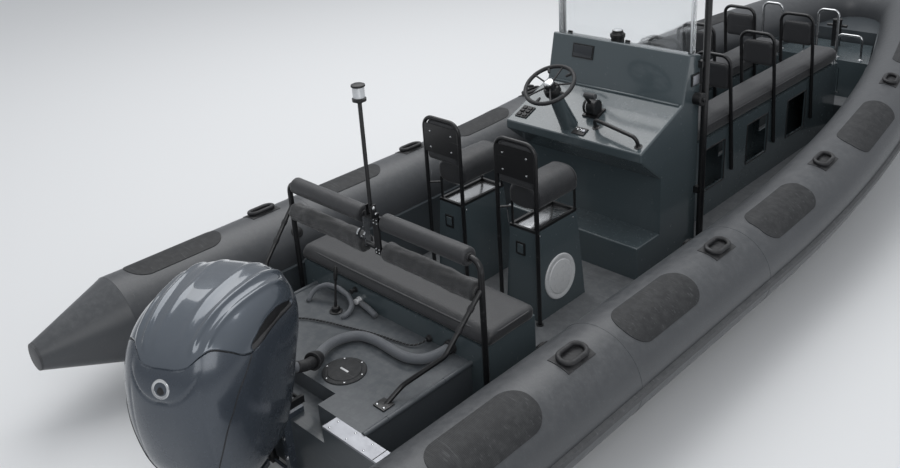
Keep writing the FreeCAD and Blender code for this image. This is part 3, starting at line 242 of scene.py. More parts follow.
def roundedBox(name, low, high, radius):
    work = bmesh.new()
    bmesh.ops.create_cube(work, size=1)
    low, high = Vector(low), Vector(high)
    for vert in work.verts:
        vert.co = Vector((low[i] + (vert.co[i] + 0.5) * (high[i] - low[i]) for i in range(3)))
    bmesh.ops.bevel(work, geom=work.edges[:], offset=radius, segments=4, profile=0.5, affect="EDGES")
    return sharpenEdges(fromWork(name, work), 40)


def turned(name, profile, centre, axis, sides, look, *replaced):
    return dress(lathe(name, profile, centre, axis, sides), look, *replaced)


def boxed(name, low, high, radius, look):
    return dress(roundedBox(name, low, high, radius), look)


def band(inner, outer, half, flat):
    # a raised band's profile
    return [(inner, -half), (outer, -flat), (outer, flat), (inner, half)]


# Shader groups

def startGroup(name, inputs, outputs):
    group = bpy.data.node_groups.new(name, "ShaderNodeTree")
    for label, kind, value in inputs:
        socket = group.interface.new_socket(label, in_out="INPUT", socket_type="NodeSocket" + kind)
        socket.default_value = value
    for label, kind in outputs:
        group.interface.new_socket(label, in_out="OUTPUT", socket_type="NodeSocket" + kind)
    return group, group.nodes.new("NodeGroupInput").outputs, group.nodes.new("NodeGroupOutput").inputs


def addNode(tree, kind, links=(), **settings):
    # a node with its settings; links are (input, socket) or (input, value) pairs
    node = tree.nodes.new("ShaderNode" + kind)
    for key, value in settings.items():
        setattr(node, key, value)
    for key, source in links:
        if isinstance(source, bpy.types.NodeSocket):
            tree.links.new(source, node.inputs[key])
        else:
            node.inputs[key].default_value = source
    return node


def combine(tree, operation, first, second, **settings):
    return addNode(tree, "Math", [(0, first), (1, second)], operation=operation, **settings).outputs[0]


def ramped(tree, value, low, high, first=0.0, last=1.0):
    # maps the range from low to high onto the range from first to last
    return addNode(tree, "MapRange", [(0, value), (1, low), (2, high), (3, first), (4, last)]).outputs[0]


def mixed(tree, share, first, second):
    return addNode(tree, "Mix", [(0, share), (6, first), (7, second)], data_type="RGBA").outputs[2]


def cloudy(tree, place, scale, detail, rough=0.5):
    links = [("Vector", place), ("Scale", scale), ("Detail", detail), ("Roughness", rough)]
    return addNode(tree, "TexNoise", links).outputs["Fac"]


def mapped(tree, place, **settings):
    links = [("Vector", place)] + [(key.capitalize(), value) for key, value in settings.items()]
    return addNode(tree, "Mapping", links).outputs[0]


dustColour, scuffColour = (0.42, 0.43, 0.43, 1), (0.34, 0.35, 0.36, 1)


def makeWeathering():
    group, given, made = startGroup(
        "weathering",
        [("Colour", "Color", (0.2, 0.2, 0.2, 1)), ("Roughness", "Float", 0.5), ("Drift", "Float", 0.1),
         ("DriftScale", "Float", 3.0), ("Dust", "Float", 0.2), ("Scuff", "Float", 0.1)],
        [("Colour", "Color"), ("Roughness", "Float")])
    place = addNode(group, "TexCoord").outputs["Object"]
    broad = ramped(group, cloudy(group, place, given["DriftScale"], 6.0, 0.6), 0, 1, -1, 1)
    lift = combine(group, "ADD", combine(group, "MULTIPLY", broad, given["Drift"]), 1.0)
    toned = addNode(group, "HueSaturation", [("Value", lift), ("Color", given["Colour"])]).outputs["Color"]
    # dust settles in patches on what faces up
    normal = addNode(group, "NewGeometry").outputs["Normal"]
    facing = addNode(group, "SeparateXYZ", [(0, normal)]).outputs["Z"]
    specks = cloudy(group, place, 23.0, 8.0, 0.7)
    settled = combine(group, "MULTIPLY", ramped(group, facing, 0.35, 1.0), ramped(group, specks, 0.42, 0.72))
    dust = combine(group, "MULTIPLY", settled, given["Dust"])
    dusted = mixed(group, dust, toned, dustColour)
    streaks = mapped(group, place, scale=(4.0, 90.0, 60.0), rotation=(0.3, 0.2, 0.5))
    thin = ramped(group, cloudy(group, streaks, 1.0, 3.0), 0.62, 0.7)
    scuffed = mixed(group, combine(group, "MULTIPLY", thin, given["Scuff"]), dusted, scuffColour)
    group.links.new(scuffed, made["Colour"])
    uneven = combine(group, "ADD", ramped(group, specks, 0, 1, -0.12, 0.12), given["Roughness"])
    group.links.new(combine(group, "ADD", uneven, dust, use_clamp=True), made["Roughness"])
    return group


def makeGrain(name, build):
    # a relief that returns a bumped normal; build makes the height from the place
    group, given, made = startGroup(
        name, [("Scale", "Float", 100.0), ("Strength", "Float", 0.3), ("Depth", "Float", 0.001)],
        [("Normal", "Vector")])
    place = addNode(group, "TexCoord").outputs["Object"]
    height = build(group, place, given["Scale"])
    links = [("Strength", given["Strength"]), ("Distance", given["Depth"]), ("Height", height)]
    group.links.new(addNode(group, "Bump", links).outputs[0], made["Normal"])
    return group


def noiseHeight(group, place, scale):
    return cloudy(group, place, scale, 5.0, 0.65)


def leatherHeight(group, place, scale):
    cells = addNode(group, "TexVoronoi", [("Vector", place), ("Scale", scale)], feature="DISTANCE_TO_EDGE")
    soft = ramped(group, cells.outputs["Distance"], 0.0, 0.18)
    return combine(group, "ADD", soft, cloudy(group, place, 14.0, 3.0))


def waves(group, place, scale, distortion, direction):
    links = [("Vector", place), ("Scale", scale), ("Distortion", distortion)]
    return addNode(group, "TexWave", links, bands_direction=direction).outputs["Fac"]


def weaveHeight(group, place, scale):
    x, y, z = (waves(group, place, scale, 0.4, direction) for direction in ("X", "Y", "Z"))
    return combine(group, "ADD", combine(group, "ADD", x, y), z)


def ribbedHeight(group, place, scale):
    fine = combine(group, "MULTIPLY", cloudy(group, place, 160.0, 2.0), 0.4)
    return combine(group, "ADD", waves(group, place, scale, 0.0, "Y"), fine)


def treadHeight(group, place, scale):
    cells = addNode(group, "TexVoronoi", [("Vector", place), ("Scale", scale), ("Randomness", 0.15)])
    bumps = ramped(group, cells.outputs["Distance"], 0.15, 0.45, 1.0, 0.0)
    return combine(group, "ADD", bumps, cloudy(group, place, 420.0, 2.0))


def brushedHeight(group, place, scale):
    return cloudy(group, mapped(group, place, scale=(1.0, 1.0, 14.0)), scale, 3.0)


weathering = makeWeathering()
grains = {name: makeGrain(name, build) for name, build in (
    ("orangePeel", noiseHeight), ("vinylGrain", leatherHeight), ("fabricWeave", weaveHeight),
    ("ribbedRubber", ribbedHeight), ("deckTread", treadHeight), ("brushedMetal", brushedHeight))}


def coat(weight, rough):
    return {"Coat Weight": weight, "Coat Roughness": rough}


# colour, roughness, drift, drift scale, dust, scuff, relief, relief scale, strength, depth in millimetres,
# and what the shader has besides
finishes = {
    "tubeFabric": ((0.066, 0.070, 0.076), 0.38, 0.10, 2.2, 0.11, 0.05, "fabricWeave", 210, 0.10, 0.6,
                   coat(0.12, 0.3)),
    "patchRubber": ((0.015, 0.016, 0.018), 0.62, 0.16, 5, 0.10, 0.10, "ribbedRubber", 42, 0.35, 1.2, {}),
    "blackRubber": ((0.018, 0.018, 0.020), 0.55, 0.15, 6, 0.12, 0.12, "orangePeel", 160, 0.25, 0.8, {}),
    "strakeRubber": ((0.050, 0.052, 0.056), 0.50, 0.15, 6, 0.12, 0.15, "orangePeel", 160, 0.25, 0.8, {}),
    "gelcoat": ((0.072, 0.094, 0.104), 0.24, 0.06, 2.5, 0.03, 0.0, "orangePeel", 60, 0.03, 0.5,
                coat(0.8, 0.08)),
    "hullPaint": ((0.058, 0.068, 0.076), 0.32, 0.10, 2, 0.03, 0.06, "orangePeel", 40, 0.05, 0.8,
                  coat(0.3, 0.1)),
    "deckCoat": ((0.115, 0.122, 0.130), 0.62, 0.13, 2.6, 0.22, 0.12, "deckTread", 90, 0.4, 1.2, {}),
    "platformCoat": ((0.076, 0.086, 0.096), 0.40, 0.10, 3, 0.16, 0.08, "orangePeel", 120, 0.2, 0.8,
                     coat(0.15, 0.25)),
    "seatVinyl": ((0.027, 0.028, 0.031), 0.42, 0.09, 4, 0.06, 0.03, "vinylGrain", 330, 0.35, 0.7,
                  {"Sheen Weight": 0.15}),
    "sleeveFabric": ((0.022, 0.023, 0.025), 0.60, 0.14, 7, 0.08, 0.05, "fabricWeave", 260, 0.35, 0.8,
                     {"Sheen Weight": 0.35}),
    "powderCoat": ((0.008, 0.008, 0.009), 0.36, 0.12, 8, 0.08, 0.08, "orangePeel", 300, 0.12, 0.4,
                   coat(0.25, 0.2)),
    "blackPlastic": ((0.010, 0.010, 0.011), 0.40, 0.10, 9, 0.10, 0.06, "orangePeel", 350, 0.15, 0.4, {}),
    "stainless": ((0.62, 0.63, 0.64), 0.20, 0.05, 9, 0.02, 0.05, "brushedMetal", 120, 0.06, 0.3,
                  {"Metallic": 1.0}),
    "brushedAlloy": ((0.42, 0.43, 0.46), 0.46, 0.08, 7, 0.06, 0.16, "brushedMetal", 90, 0.12, 0.4,
                     {"Metallic": 1.0}),
    "cowlPaint": ((0.088, 0.106, 0.130), 0.20, 0.05, 3, 0.02, 0.0, "orangePeel", 45, 0.03, 0.4,
                  {"Metallic": 0.35, **coat(1.0, 0.04)}),
    "enginePaint": ((0.060, 0.073, 0.092), 0.26, 0.06, 4, 0.03, 0.0, "orangePeel", 120, 0.06, 0.4,
                    {"Metallic": 0.3, **coat(0.5, 0.12)}),
    "hoseSleeve": ((0.130, 0.140, 0.155), 0.55, 0.12, 8, 0.14, 0.08, "fabricWeave", 420, 0.25, 0.5,
                   {"Sheen Weight": 0.2}),
    "whitePlastic": ((0.72, 0.73, 0.74), 0.28, 0.04, 6, 0.05, 0.05, "orangePeel", 90, 0.05, 0.4,
                     {"Coat Weight": 0.3}),
    "lampLens": ((0.72, 0.74, 0.76), 0.12, 0.03, 8, 0.04, 0.02, "orangePeel", 60, 0.03, 0.3,
                 {"Coat Weight": 0.8}),
    "screenGlass": ((0.012, 0.016, 0.022), 0.10, 0.03, 8, 0.02, 0.02, "orangePeel", 60, 0.02, 0.2,
                    {"Coat Weight": 0.8}),
}


def newMaterial(name):
    material = bpy.data.materials.new(name)
    material.use_nodes = True
    return material, material.node_tree, material.node_tree.nodes["Principled BSDF"].inputs


def makeFinish(name):
    colour, rough, drift, driftScale, dust, scuff, relief, scale, strength, depth, extra = finishes[name]
    material, tree, shader = newMaterial(name)
    worn = addNode(tree, "Group", node_tree=weathering)
    grain = addNode(tree, "Group", node_tree=grains[relief])
    wear = {"Colour": (*colour, 1), "Roughness": rough, "Drift": drift, "DriftScale": driftScale,
            "Dust": dust, "Scuff": scuff}
    surface = {"Scale": scale, "Strength": strength, "Depth": depth / 1000}
    for sockets, values in ((worn.inputs, wear), (grain.inputs, surface), (shader, extra)):
        for key, value in values.items():
            sockets[key].default_value = value
    tree.links.new(worn.outputs["Colour"], shader["Base Color"])
    tree.links.new(worn.outputs["Roughness"], shader["Roughness"])
    tree.links.new(grain.outputs["Normal"], shader["Normal"])
    return material


def makeAcrylic():
    material, tree, shader = newMaterial("clearAcrylic")
    for key, value in (("Base Color", (0.86, 0.90, 0.92, 1)), ("IOR", 1.45), ("Transmission Weight", 0.95),
                       ("Alpha", 0.45)):
        shader[key].default_value = value
    haze = addNode(tree, "TexNoise", [("Scale", 6.0), ("Detail", 4.0)])
    tree.links.new(ramped(tree, haze.outputs["Fac"], 0, 1, 0.02, 0.08), shader["Roughness"])
    return material


paint = {name: makeFinish(name) for name in finishes}
paint["clearAcrylic"] = makeAcrylic()
print("finishes made:", len(paint))

# the nodes that keep each finish
nodeFinish = {
    "tubeFabric": "tube_starboard tube_port tube_bow",
    "strakeRubber": "rub_strake",
    "patchRubber": "wear_patches",
    "blackRubber": "tube_handles steering_wheel",
    "hullPaint": "hull",
    "deckCoat": "deck bow_step",
    "platformCoat": "aft_platform",
    "brushedAlloy": "transom_caps propeller",
    "gelcoat": "rear_bench console helm_column pod_starboard pod_port bench_port bench_starboard bow_locker "
               "bow_locker_door",
    "seatVinyl": "rear_cushion pod_cushions pod_backs bench_cushions back_pads",
    "sleeveFabric": "frame_pads",
    "powderCoat": "seat_frame mast_bracket mast_pole console_arch console_rail pod_frames back_frames "
                  "bow_post swivel_bracket tilt_cylinder",
    "stainless": "tow_eye stainless_hoops stern_eyes steering_ram tilt_rod",
    "lampLens": "mast_light",
    "clearAcrylic": "windscreen",
    "blackPlastic": "helm_controls compass inspection_hatches spiral_cable deck_fittings",
    "hoseSleeve": "rigging_hose",
    "cowlPaint": "cowl_upper cowl_lower",
    "enginePaint": "outboard_leg clamp_bracket",
}
for finish, names in nodeFinish.items():
    for name in names.split():
        paintPiece(nodes[name], finish)
        sharpenEdges(nodes[name], 32)
print("nodes painted")


# Cords

hoseRoute = [(0.101, 0.066, 0.552), (0.138, 0.146, 0.528), (0.084, 0.258, 0.496), (0.010, 0.352, 0.468),
             (-0.022, 0.468, 0.452), (0.024, 0.572, 0.450), (0.130, 0.602, 0.450), (0.250, 0.598, 0.450),
             (0.370, 0.590, 0.450), (0.464, 0.628, 0.453), (0.500, 0.712, 0.455), (0.500, 0.784, 0.455)]
cableRoute = [(-0.452, 0.420, 0.430), (-0.410, 0.478, 0.430), (-0.328, 0.527, 0.430), (-0.223, 0.568, 0.430),
              (-0.120, 0.598, 0.430), (-0.022, 0.630, 0.430), (0.060, 0.656, 0.430), (0.142, 0.672, 0.430),
              (0.228, 0.688, 0.430), (0.300, 0.702, 0.431), (0.340, 0.740, 0.438), (0.340, 0.790, 0.438)]


def curveThrough(name, points, kind, radius, fineness):
    curve = bpy.data.curves.new(name, "CURVE")
    curve.dimensions = "3D"
    spline = curve.splines.new(kind)
    spline.points.add(len(points) - 1)
    for knot, place in zip(spline.points, points):
        knot.co = (*place, 1)
    curve.bevel_depth = radius
    curve.bevel_resolution = fineness
    return linkObject(name, curve), spline


def routeCurve(name, route, radius):
    piece, spline = curveThrough(name, route, "NURBS", radius, 6)
    spline.order_u = 3
    spline.use_endpoint_u = True
    spline.resolution_u = 14
    piece.data.use_fill_caps = radius > 0
    return piece


def curveMesh(curve):
    mesh = bpy.data.meshes.new_from_object(curve)
    bpy.data.objects.remove(curve)
    return mesh


def routePoints(route):
    # the smooth line through a route, as closely spaced points
    return [vert.co.copy() for vert in curveMesh(routeCurve("bareRoute", route, 0)).vertices]


def bendWithTilt(piece, finish):
    # paints a piece of the hose's engine end and bakes its placement into its mesh
    paintPiece(piece, finish)
    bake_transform(piece)


def makeHose():
    hose = linkObject("riggingHose", curveMesh(routeCurve("hoseCurve", hoseRoute, 0.0268)))
    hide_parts("rigging_hose")
    bendWithTilt(hose, "hoseSleeve")
    line = routePoints(hoseRoute)


def makeCable():
    # a core with a spiral wrap: the wrap's turns follow the core's own smooth line
    core = routeCurve("controlCable", cableRoute, 0.0052)
    dress(core, ("boat", "blackPlastic", "hose_black"), "spiral_cable")
    line = routePoints(cableRoute)
    turns, pitch, wrapRadius = [], 0.022, 0.0058
    travelled = 0.0
    for before, after in zip(line, line[1:]):
        along, length = (after - before).normalized(), (after - before).length
        side = along.cross(Vector(upward)).normalized()
        up = side.cross(along)
        steps = max(1, int(length / (pitch / 10)))
        for step in range(steps):
            share = step / steps
            angle = 2 * math.pi * (travelled + length * share) / pitch
            out = side * math.cos(angle) + up * math.sin(angle)
            turns.append(before.lerp(after, share) + out * wrapRadius)
        travelled += length
    wrap, _ = curveThrough("spiralWrap", turns, "POLY", 0.0016, 1)
    dress(wrap, hoseLook)


makeHose()
makeCable()
print("cords made")


# Outboard engine

steerAxis = Vector((0, -0.120, 0))
engineTurn = (Matrix.Translation(steerAxis) @ Matrix.Rotation(math.radians(27.3), 4, "Z")
              @ Matrix.Translation(-steerAxis))

# height, half width, how far the front and the back stand off the steering axis
cowlRings = [
    (0.300, 0.215, 0.000, 0.470), (0.380, 0.265, 0.060, 0.530), (0.480, 0.292, 0.110, 0.575),
    (0.600, 0.312, 0.150, 0.597), (0.700, 0.320, 0.185, 0.605), (0.800, 0.322, 0.245, 0.603),
    (0.900, 0.318, 0.275, 0.590), (1.000, 0.300, 0.255, 0.550), (1.080, 0.262, 0.200, 0.478),
    (1.130, 0.202, 0.120, 0.385), (1.155, 0.135, 0.040, 0.290), (1.165, 0.060, -0.060, 0.200),
]
cowlPower = 2.8
apronFront = -0.062  # the apron under the cowl starts this far behind the steering axis
cowlBase = 0.480
seamGap = 0.003  # half the gap between the lid and the case


def curveBetween(rows, place, column):
    # a smooth value between a table's rows
    last = len(rows) - 1
    k = max([i for i in range(last) if rows[i][0] <= place + 1e-9], default=0)
    low, high = rows[k], rows[k + 1]
    step = high[0] - low[0]
    t = min(1, max(0, (place - low[0]) / step))
    slopes = []
    for i in (k, k + 1):
        before, after = rows[max(i - 1, 0)], rows[min(i + 1, last)]
        slopes.append((after[column] - before[column]) / (after[0] - before[0]))
    return ((2 * t ** 3 - 3 * t ** 2 + 1) * low[column] + (t ** 3 - 2 * t ** 2 + t) * step * slopes[0]
            + (3 * t ** 2 - 2 * t ** 3) * high[column] + (t ** 3 - t ** 2) * step * slopes[1])


def signedPower(value, power):
    return math.copysign(abs(value) ** power, value)


def cowlPoint(bearing, z, out=0.0):
    # a point of the cowl's skin, or off it; bearing is measured from straight aft towards starboard
    wide, front, back = (curveBetween(cowlRings, z, column) for column in (1, 2, 3))
    half, middle = (front + back) / 2 + out, steerAxis.y + (front - back) / 2
    return Vector(((wide + out) * signedPower(math.sin(bearing), 2 / cowlPower),
                   middle - half * signedPower(math.cos(bearing), 2 / cowlPower), z))


def smoothStep(value, low, high):
    t = min(1, max(0, (value - low) / (high - low)))
    return t * t * (3 - 2 * t)


def hump(distance, width):
    return math.exp(-(distance / width) ** 2)


# the seam under the lid, alike on both sides: bearing in degrees, height
seamLine = [(0, 0.990), (11, 0.991), (25, 1.035), (36, 1.047), (52, 1.020), (66, 0.975), (76, 0.965),
            (92, 0.985), (112, 0.965), (180, 0.940)]


def sideAngle(bearing):
    # degrees off straight aft, alike on both sides
    angle = abs(math.degrees(bearing)) % 360
    return min(angle, 360 - angle)


def seamHeight(bearing):
    return curveBetween(seamLine, sideAngle(bearing), 1)


def scoopShare(bearing, z):
    # one inside the air scoop above the seam on each side, nought outside it
    aside = sideAngle(bearing) - 94
    rise = (z - seamHeight(bearing) - 0.020) / (0.030 * (1 - aside / 60))
    return 1 - smoothStep((aside / 23) ** 2 + rise ** 2, 0.55, 1.0)


# ridges over the lid: how far they stand off the middle at the back and at the front, height, half width
lidRidges = [(0.105, 0.195, 0.012, 0.013), (0.152, 0.252, 0.009, 0.011), (0.055, 0.085, 0.004, 0.016)]
scoopDepth = 0.016


def lidRelief(place, bearing):
    ends = smoothStep(place.z, 1.03, 1.09)
    share = (place.y + 0.70) / 0.75
    out = 0.0
    for back, front, height, width in lidRidges:
        out += height * ends * hump(abs(place.x) - back - (front - back) * share, width)
    return out - scoopDepth * scoopShare(bearing, place.z)


def caseRelief(place, bearing):
    # a groove that dips round the badge, and a soft crease down each side of the middle panel
    side = sideAngle(bearing)
    if side > 40 or place.z < cowlBase:
        return 0.0
    dip = 0.853 + 0.100 * (side / 22) ** 1.7
    groove = hump(place.z - dip, 0.009) * (1 - smoothStep(side, 20, 27))
    raised = smoothStep(place.z, dip - 0.004, dip + 0.012) * (1 - smoothStep(side, 17, 26))
    ends = smoothStep(place.z, 0.48, 0.60) * (1 - smoothStep(place.z, 0.86, 0.93))
    crease = hump(side - 24 - 9 * (0.93 - place.z), 1.9) * ends
    return 0.0045 * raised - 0.0050 * groove - 0.0035 * crease


def cowlSkin(name, heights, columns, relief=None):
    # heights gives the rows of heights at a bearing; relief pushes the skin out along its normals
    bearings = circle(columns)
    rows = [heights(bearing) for bearing in bearings]
    rings = []
    for row in range(len(rows[0])):
        ring = []
        for bearing, column in zip(bearings, rows):
            point = cowlPoint(bearing, column[row])
            if column[row] < cowlBase:
                point.y = min(point.y, steerAxis.y + apronFront)
            ring.append(point)
        rings.append(ring)
    piece = loftRings(name, rings)
    if relief:
        normals = [vert.normal.copy() for vert in piece.data.vertices]
        for index, vert in enumerate(piece.data.vertices):
            vert.co += normals[index] * relief(vert.co, bearings[index % columns])
    piece.data.transform(engineTurn)
    return piece


def lidHeights(bearing):
    low, high, steps = seamHeight(bearing) + seamGap, cowlRings[-1][0], 76
    return [low + (high - low) * (1 - (1 - step / steps) ** 2.4) for step in range(steps + 1)]


def caseHeights(bearing):
    low, high = cowlRings[0][0], seamHeight(bearing) - seamGap
    apron = [low + (cowlBase - 0.0005 - low) * step / 10 for step in range(11)]
    return apron + [cowlBase + (high - cowlBase) * step / 60 for step in range(61)]


def gasketHeights(bearing):
    return [seamHeight(bearing) - 0.010, seamHeight(bearing) + 0.010]


def onCowl(bearing, z, out=0.0):
    return engineTurn @ cowlPoint(math.radians(bearing), z, out)


# where each side seam runs down the case: height, bearing in degrees
sideSeam = [(0.320, 19), (0.420, 25), (0.520, 31), (0.610, 37), (0.700, 43), (0.780, 50), (0.850, 56),
            (0.910, 64), (0.962, 71)]
cowlDark = ("engine", "blackRubber", "cowl_gloss")


def makeCowl():
    lid = cowlSkin("cowlLid", lidHeights, 288, lidRelief)
    dress(lid, ("engine", "cowlPaint", "cowl_gloss"), "cowl_upper")
    case = sharpenEdges(cowlSkin("cowlCase", caseHeights, 288, caseRelief), 40)
    dress(case, ("engine", "enginePaint", "cowl_gloss"), "cowl_lower")
    gasket = cowlSkin("cowlGasket", gasketHeights, 180)
    middle = Matrix.Translation(engineTurn @ steerAxis)
    gasket.data.transform(middle @ Matrix.Diagonal((0.992, 0.992, 1, 1)) @ middle.inverted())
    dress(gasket, cowlDark)
    low, high = sideSeam[0][0], sideSeam[-1][0]
    for side, tag in bothSides:
        line = []
        for step in range(41):
            z = low + (high - low) * step / 40
            line.append(onCowl(side * curveBetween(sideSeam, z, 1), z, 0.0002))
        dress(sweepTube("caseSeam" + tag, line, 0.0028, sides=8, bend=0.01), cowlDark)
        makeScoop(side, tag)


def makeScoop(side, tag):
    # a black sheet set back behind the scoop's mouth: painted shade for the dark inside of the opening
    across, rows, setBack = 32, 14, 0.009
    verts, faces = [], []
    for row in range(rows + 1):
        for column in range(across + 1):
            bearing = side * (70 + 50 * column / across)
            z = seamHeight(math.radians(bearing)) - 0.006 + 0.075 * row / rows
            verts.append(onCowl(bearing, z, -setBack))
    for row in range(rows):
        for column in range(across):
            a, b = row * (across + 1) + column, (row + 1) * (across + 1) + column
            faces.append((a, a + 1, b + 1, b))
    mouth = linkMesh("scoopShadeSheet" + tag, verts, faces)
    mouth.modifiers.new("thick", "SOLIDIFY").thickness = 0.002
    # black plastic finish here is painted shade filling the scoop's recess
    dress(mouth, ("engine", "blackPlastic", "cowl_gloss"))


def makeBadge():
    # a plain ring round a plain disc
    middle, above = onCowl(0, 0.915), onCowl(0, 0.930)
    across = engineTurn.to_3x3() @ Vector((1, 0, 0))
    axis = across.cross(above - middle).normalized()
    axis = -axis if axis.y > 0 else axis
    turned("badgeRing", [(30, -4), (30, 4), (34, 6.5), (41, 6.5), (44, 3), (44, -4)], middle, axis, 56,
           ("engine", "stainless", "chrome_rod"))
    turned("badgeDisc", [(0, -4), (30.5, -4), (30.5, 2.8), (22, 4.2), (0, 4.8)], middle, axis, 56,
           ("engine", "blackPlastic", "black_plastic"))


def makeBoot():
    # the ribbed rubber boot that the rigging hose leaves the cowl by
    start, toward = Vector(hoseRoute[0]), Vector(hoseRoute[1])
    profile = [(56, -105), (58, -75)]
    for rib in range(7):
        profile += [(56 - 2.8 * rib, -70 + 10 * rib), (52.5 - 2.8 * rib, -65.5 + 10 * rib)]
    profile += [(36, -1), (30, 0), (27.5, 0)]
    turned("hoseBoot", profile, start, toward - start, 40, ("engine", "blackRubber", "black_rubber"))


makeCowl()
makeBadge()
makeBoot()
print("engine dressed")


# Soft goods

def islands(name):
    # low and high corners of each separate solid of a node
    mesh = nodes[name].data
    parent = list(range(len(mesh.vertices)))

    def root(i):
        while parent[i] != i:
            parent[i] = parent[parent[i]]
            i = parent[i]
        return i

    places = {}
    for vert in mesh.vertices:
        key = tuple(round(c, 5) for c in vert.co)
        if key in places:
            parent[root(vert.index)] = root(places[key])
        else:
            places[key] = vert.index
    for edge in mesh.edges:
        parent[root(edge.vertices[0])] = root(edge.vertices[1])
    groups = {}
    for vert in mesh.vertices:
        groups.setdefault(root(vert.index), []).append(vert.co)
    boxes = []
    for points in groups.values():
        boxes.append((Vector((min(p[i] for p in points) for i in range(3))),
                      Vector((max(p[i] for p in points) for i in range(3)))))
    return sorted(boxes, key=lambda pair: (round(pair[0].x, 3), round(pair[0].y, 3), pair[0].z))


def seedPlace():
    return Vector((random.random() * 9, random.random() * 9, random.random() * 9))


def wrinkle(point, seed, broad, fine):
    return noise.noise((point + seed) * broad) * 0.6 + noise.noise((point + seed) * fine) * 0.4


def dressSoft(piece, node, index):
    # padded covers: the first of a node's pieces stands for the node
    dress(piece, seat, *([node] if index == 0 else []))


def softBlock(name, low, high, radius, crown, pull, lumps, cuts, channels=()):
    # a crowned form: its sides pull in between the corners, and sewn channels sink into its top
    work = bmesh.new()
    bmesh.ops.create_cube(work, size=2)
    bmesh.ops.subdivide_edges(work, edges=work.edges[:], cuts=cuts, use_grid_fill=True)
    half, centre = (high - low) / 2, (high + low) / 2
    round3 = Vector(min(radius, 0.95 * h) for h in half)
    seed = seedPlace()
    for vert in work.verts:
        # points crowd towards the edges, where the form turns
        unit = Vector(math.sin(u * math.pi / 2) * 0.55 + u * 0.45 for u in vert.co)
        inner = Vector(max(-(h - r), min(h - r, u * h)) for u, h, r in zip(unit, half, round3))
        away = Vector((u * h - i) / r for u, h, i, r in zip(unit, half, inner, round3))
        if away.length > 1e-9:
            away = away.normalized()
        point = inner + Vector(a * r for a, r in zip(away, round3))
        across = (1 - min(1, abs(point.x / half.x)) ** 2.2) * (1 - min(1, abs(point.y / half.y)) ** 2.2)
        top = smoothStep(point.z / half.z, 0.0, 1.0)
        point.z += top * crown * (across - 0.55)
        for side, other in ((0, 1), (1, 0)):
            if abs(point[side]) > half[side] * 0.8:
                belly = 1 - min(1, abs(point[other] / half[other])) ** 2
                point[side] -= math.copysign(pull, point[side]) * belly * 0.5
        for axis, place, width, depth in channels:
            if point.z > 0 or abs(away.z) < 0.5:
                point.z -= depth * hump(abs(point[axis] - place), width) * top
        lump = wrinkle(point, seed, 7, 19) * lumps
        point += Vector((away.x, away.y, max(away.z, 0))) * lump
        point.z = max(point.z, -half.z)
        vert.co = centre + point
    return smooth(fromWork(name, work))


def piping(name, low, high, height, bulge):
    # a sewn cord round a cushion at one height
    half, centre = (high - low) / 2, (high + low) / 2
    points = []
    for t in circle(96):
        points.append(Vector((centre.x + (half.x + bulge) * signedPower(math.cos(t), 0.22),
                              centre.y + (half.y + bulge) * signedPower(math.sin(t), 0.22), height)))
    return closedTube(name, points, Vector(upward), 0.0045)


def makeRearCushion():
    low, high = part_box("rear_cushion")
    pad = softBlock("rearCushion", low, high, 0.036, 0.012, 0.004, 0.0035, 30)
    seam = piping("rearCushionSeam", low, high, high.z - 0.026, -0.003)
    middle, reach = (low.y + high.y) / 2, (high.y - low.y) / 2
    for piece in (pad, seam):
        # the aft side leans out over the bench's edge
        for vert in piece.data.vertices:
            aft = smoothStep((middle - vert.co.y) / reach, 0.3, 1.0)
            down = smoothStep((high.z - vert.co.z) / (high.z - low.z), 0.0, 0.8)
            vert.co.y -= aft * (0.016 + 0.032 * down)
    dressSoft(pad, "rear_cushion", 0)
    dress(seam, seat)


def makeBenchCushions():
    for index, (low, high) in enumerate(islands("bench_cushions")):
        channels = [(1, (k - 1.5) * (high.y - low.y) / 4 * 0.98, 0.012, 0.010) for k in range(4)]
        pad = softBlock("benchCushion%d" % index, low, high, 0.06, 0.016, 0.004, 0.004, 34, channels)
        dressSoft(pad, "bench_cushions", index)
        dress(piping("benchCushionSeam%d" % index, low, high, high.z - 0.05, -0.004), seat)


makeRearCushion()
makeBenchCushions()
print("soft goods made")


def quarter(steps):
    # the cosine and the sine through a quarter turn
    angles = [math.pi / 2 * step / steps for step in range(steps + 1)]
    return [(math.cos(a), math.sin(a)) for a in angles]


def paddedRoll(name, low, high, bore, rounding, lumps, folds):
    # a foam sleeve along X round a tube: rounded ends, soft lumps and lengthwise folds
    centre, radius, length = (low + high) / 2, (high.z - low.z) / 2, high.x - low.x
    seed = seedPlace()
    stations = [(0.0, bore), (0.0, radius - rounding)]
    stations += [(rounding * (1 - c), radius - rounding + rounding * s) for c, s in quarter(4)[1:]]
    stations += [(rounding + (length - 2 * rounding) * step / 70, radius) for step in range(1, 70)]
    stations += [(length - rounding + rounding * s, radius - rounding + rounding * c) for c, s in quarter(4)]
    rings = []
    for along, reach in stations + [(length, bore)]:
        ring = []
        for t in circle(56):
            out = Vector((0, math.cos(t), math.sin(t)))
            place = Vector((low.x + along, centre.y, centre.z)) + out * reach
            if reach > bore:
                swirl = noise.noise(Vector((along * 7, t * 0.9, seed.y)))
                swirl *= math.sin(5 * t + along * 9 + seed.x)
                place += out * (lumps * wrinkle(place, seed, 9, 24.3) + folds * swirl)
            ring.append(place)
        rings.append(ring)
    return loftRings(name, rings + rings[:1], capped=False)


def roundedOutline(half, corner, steps):
    # a board's outline; corner holds the radii above and below
    outline = []
    for cornerX, cornerY, start in ((1, 1, 0), (-1, 1, 90), (-1, -1, 180), (1, -1, 270)):
        reach = corner[0] if cornerY > 0 else corner[1]
        for step in range(steps + 1):
            t = math.radians(start + 90 * step / steps)
            outline.append((cornerX * (half[0] - reach) + reach * math.cos(t),
                            cornerY * (half[1] - reach) + reach * math.sin(t)))
    return outline


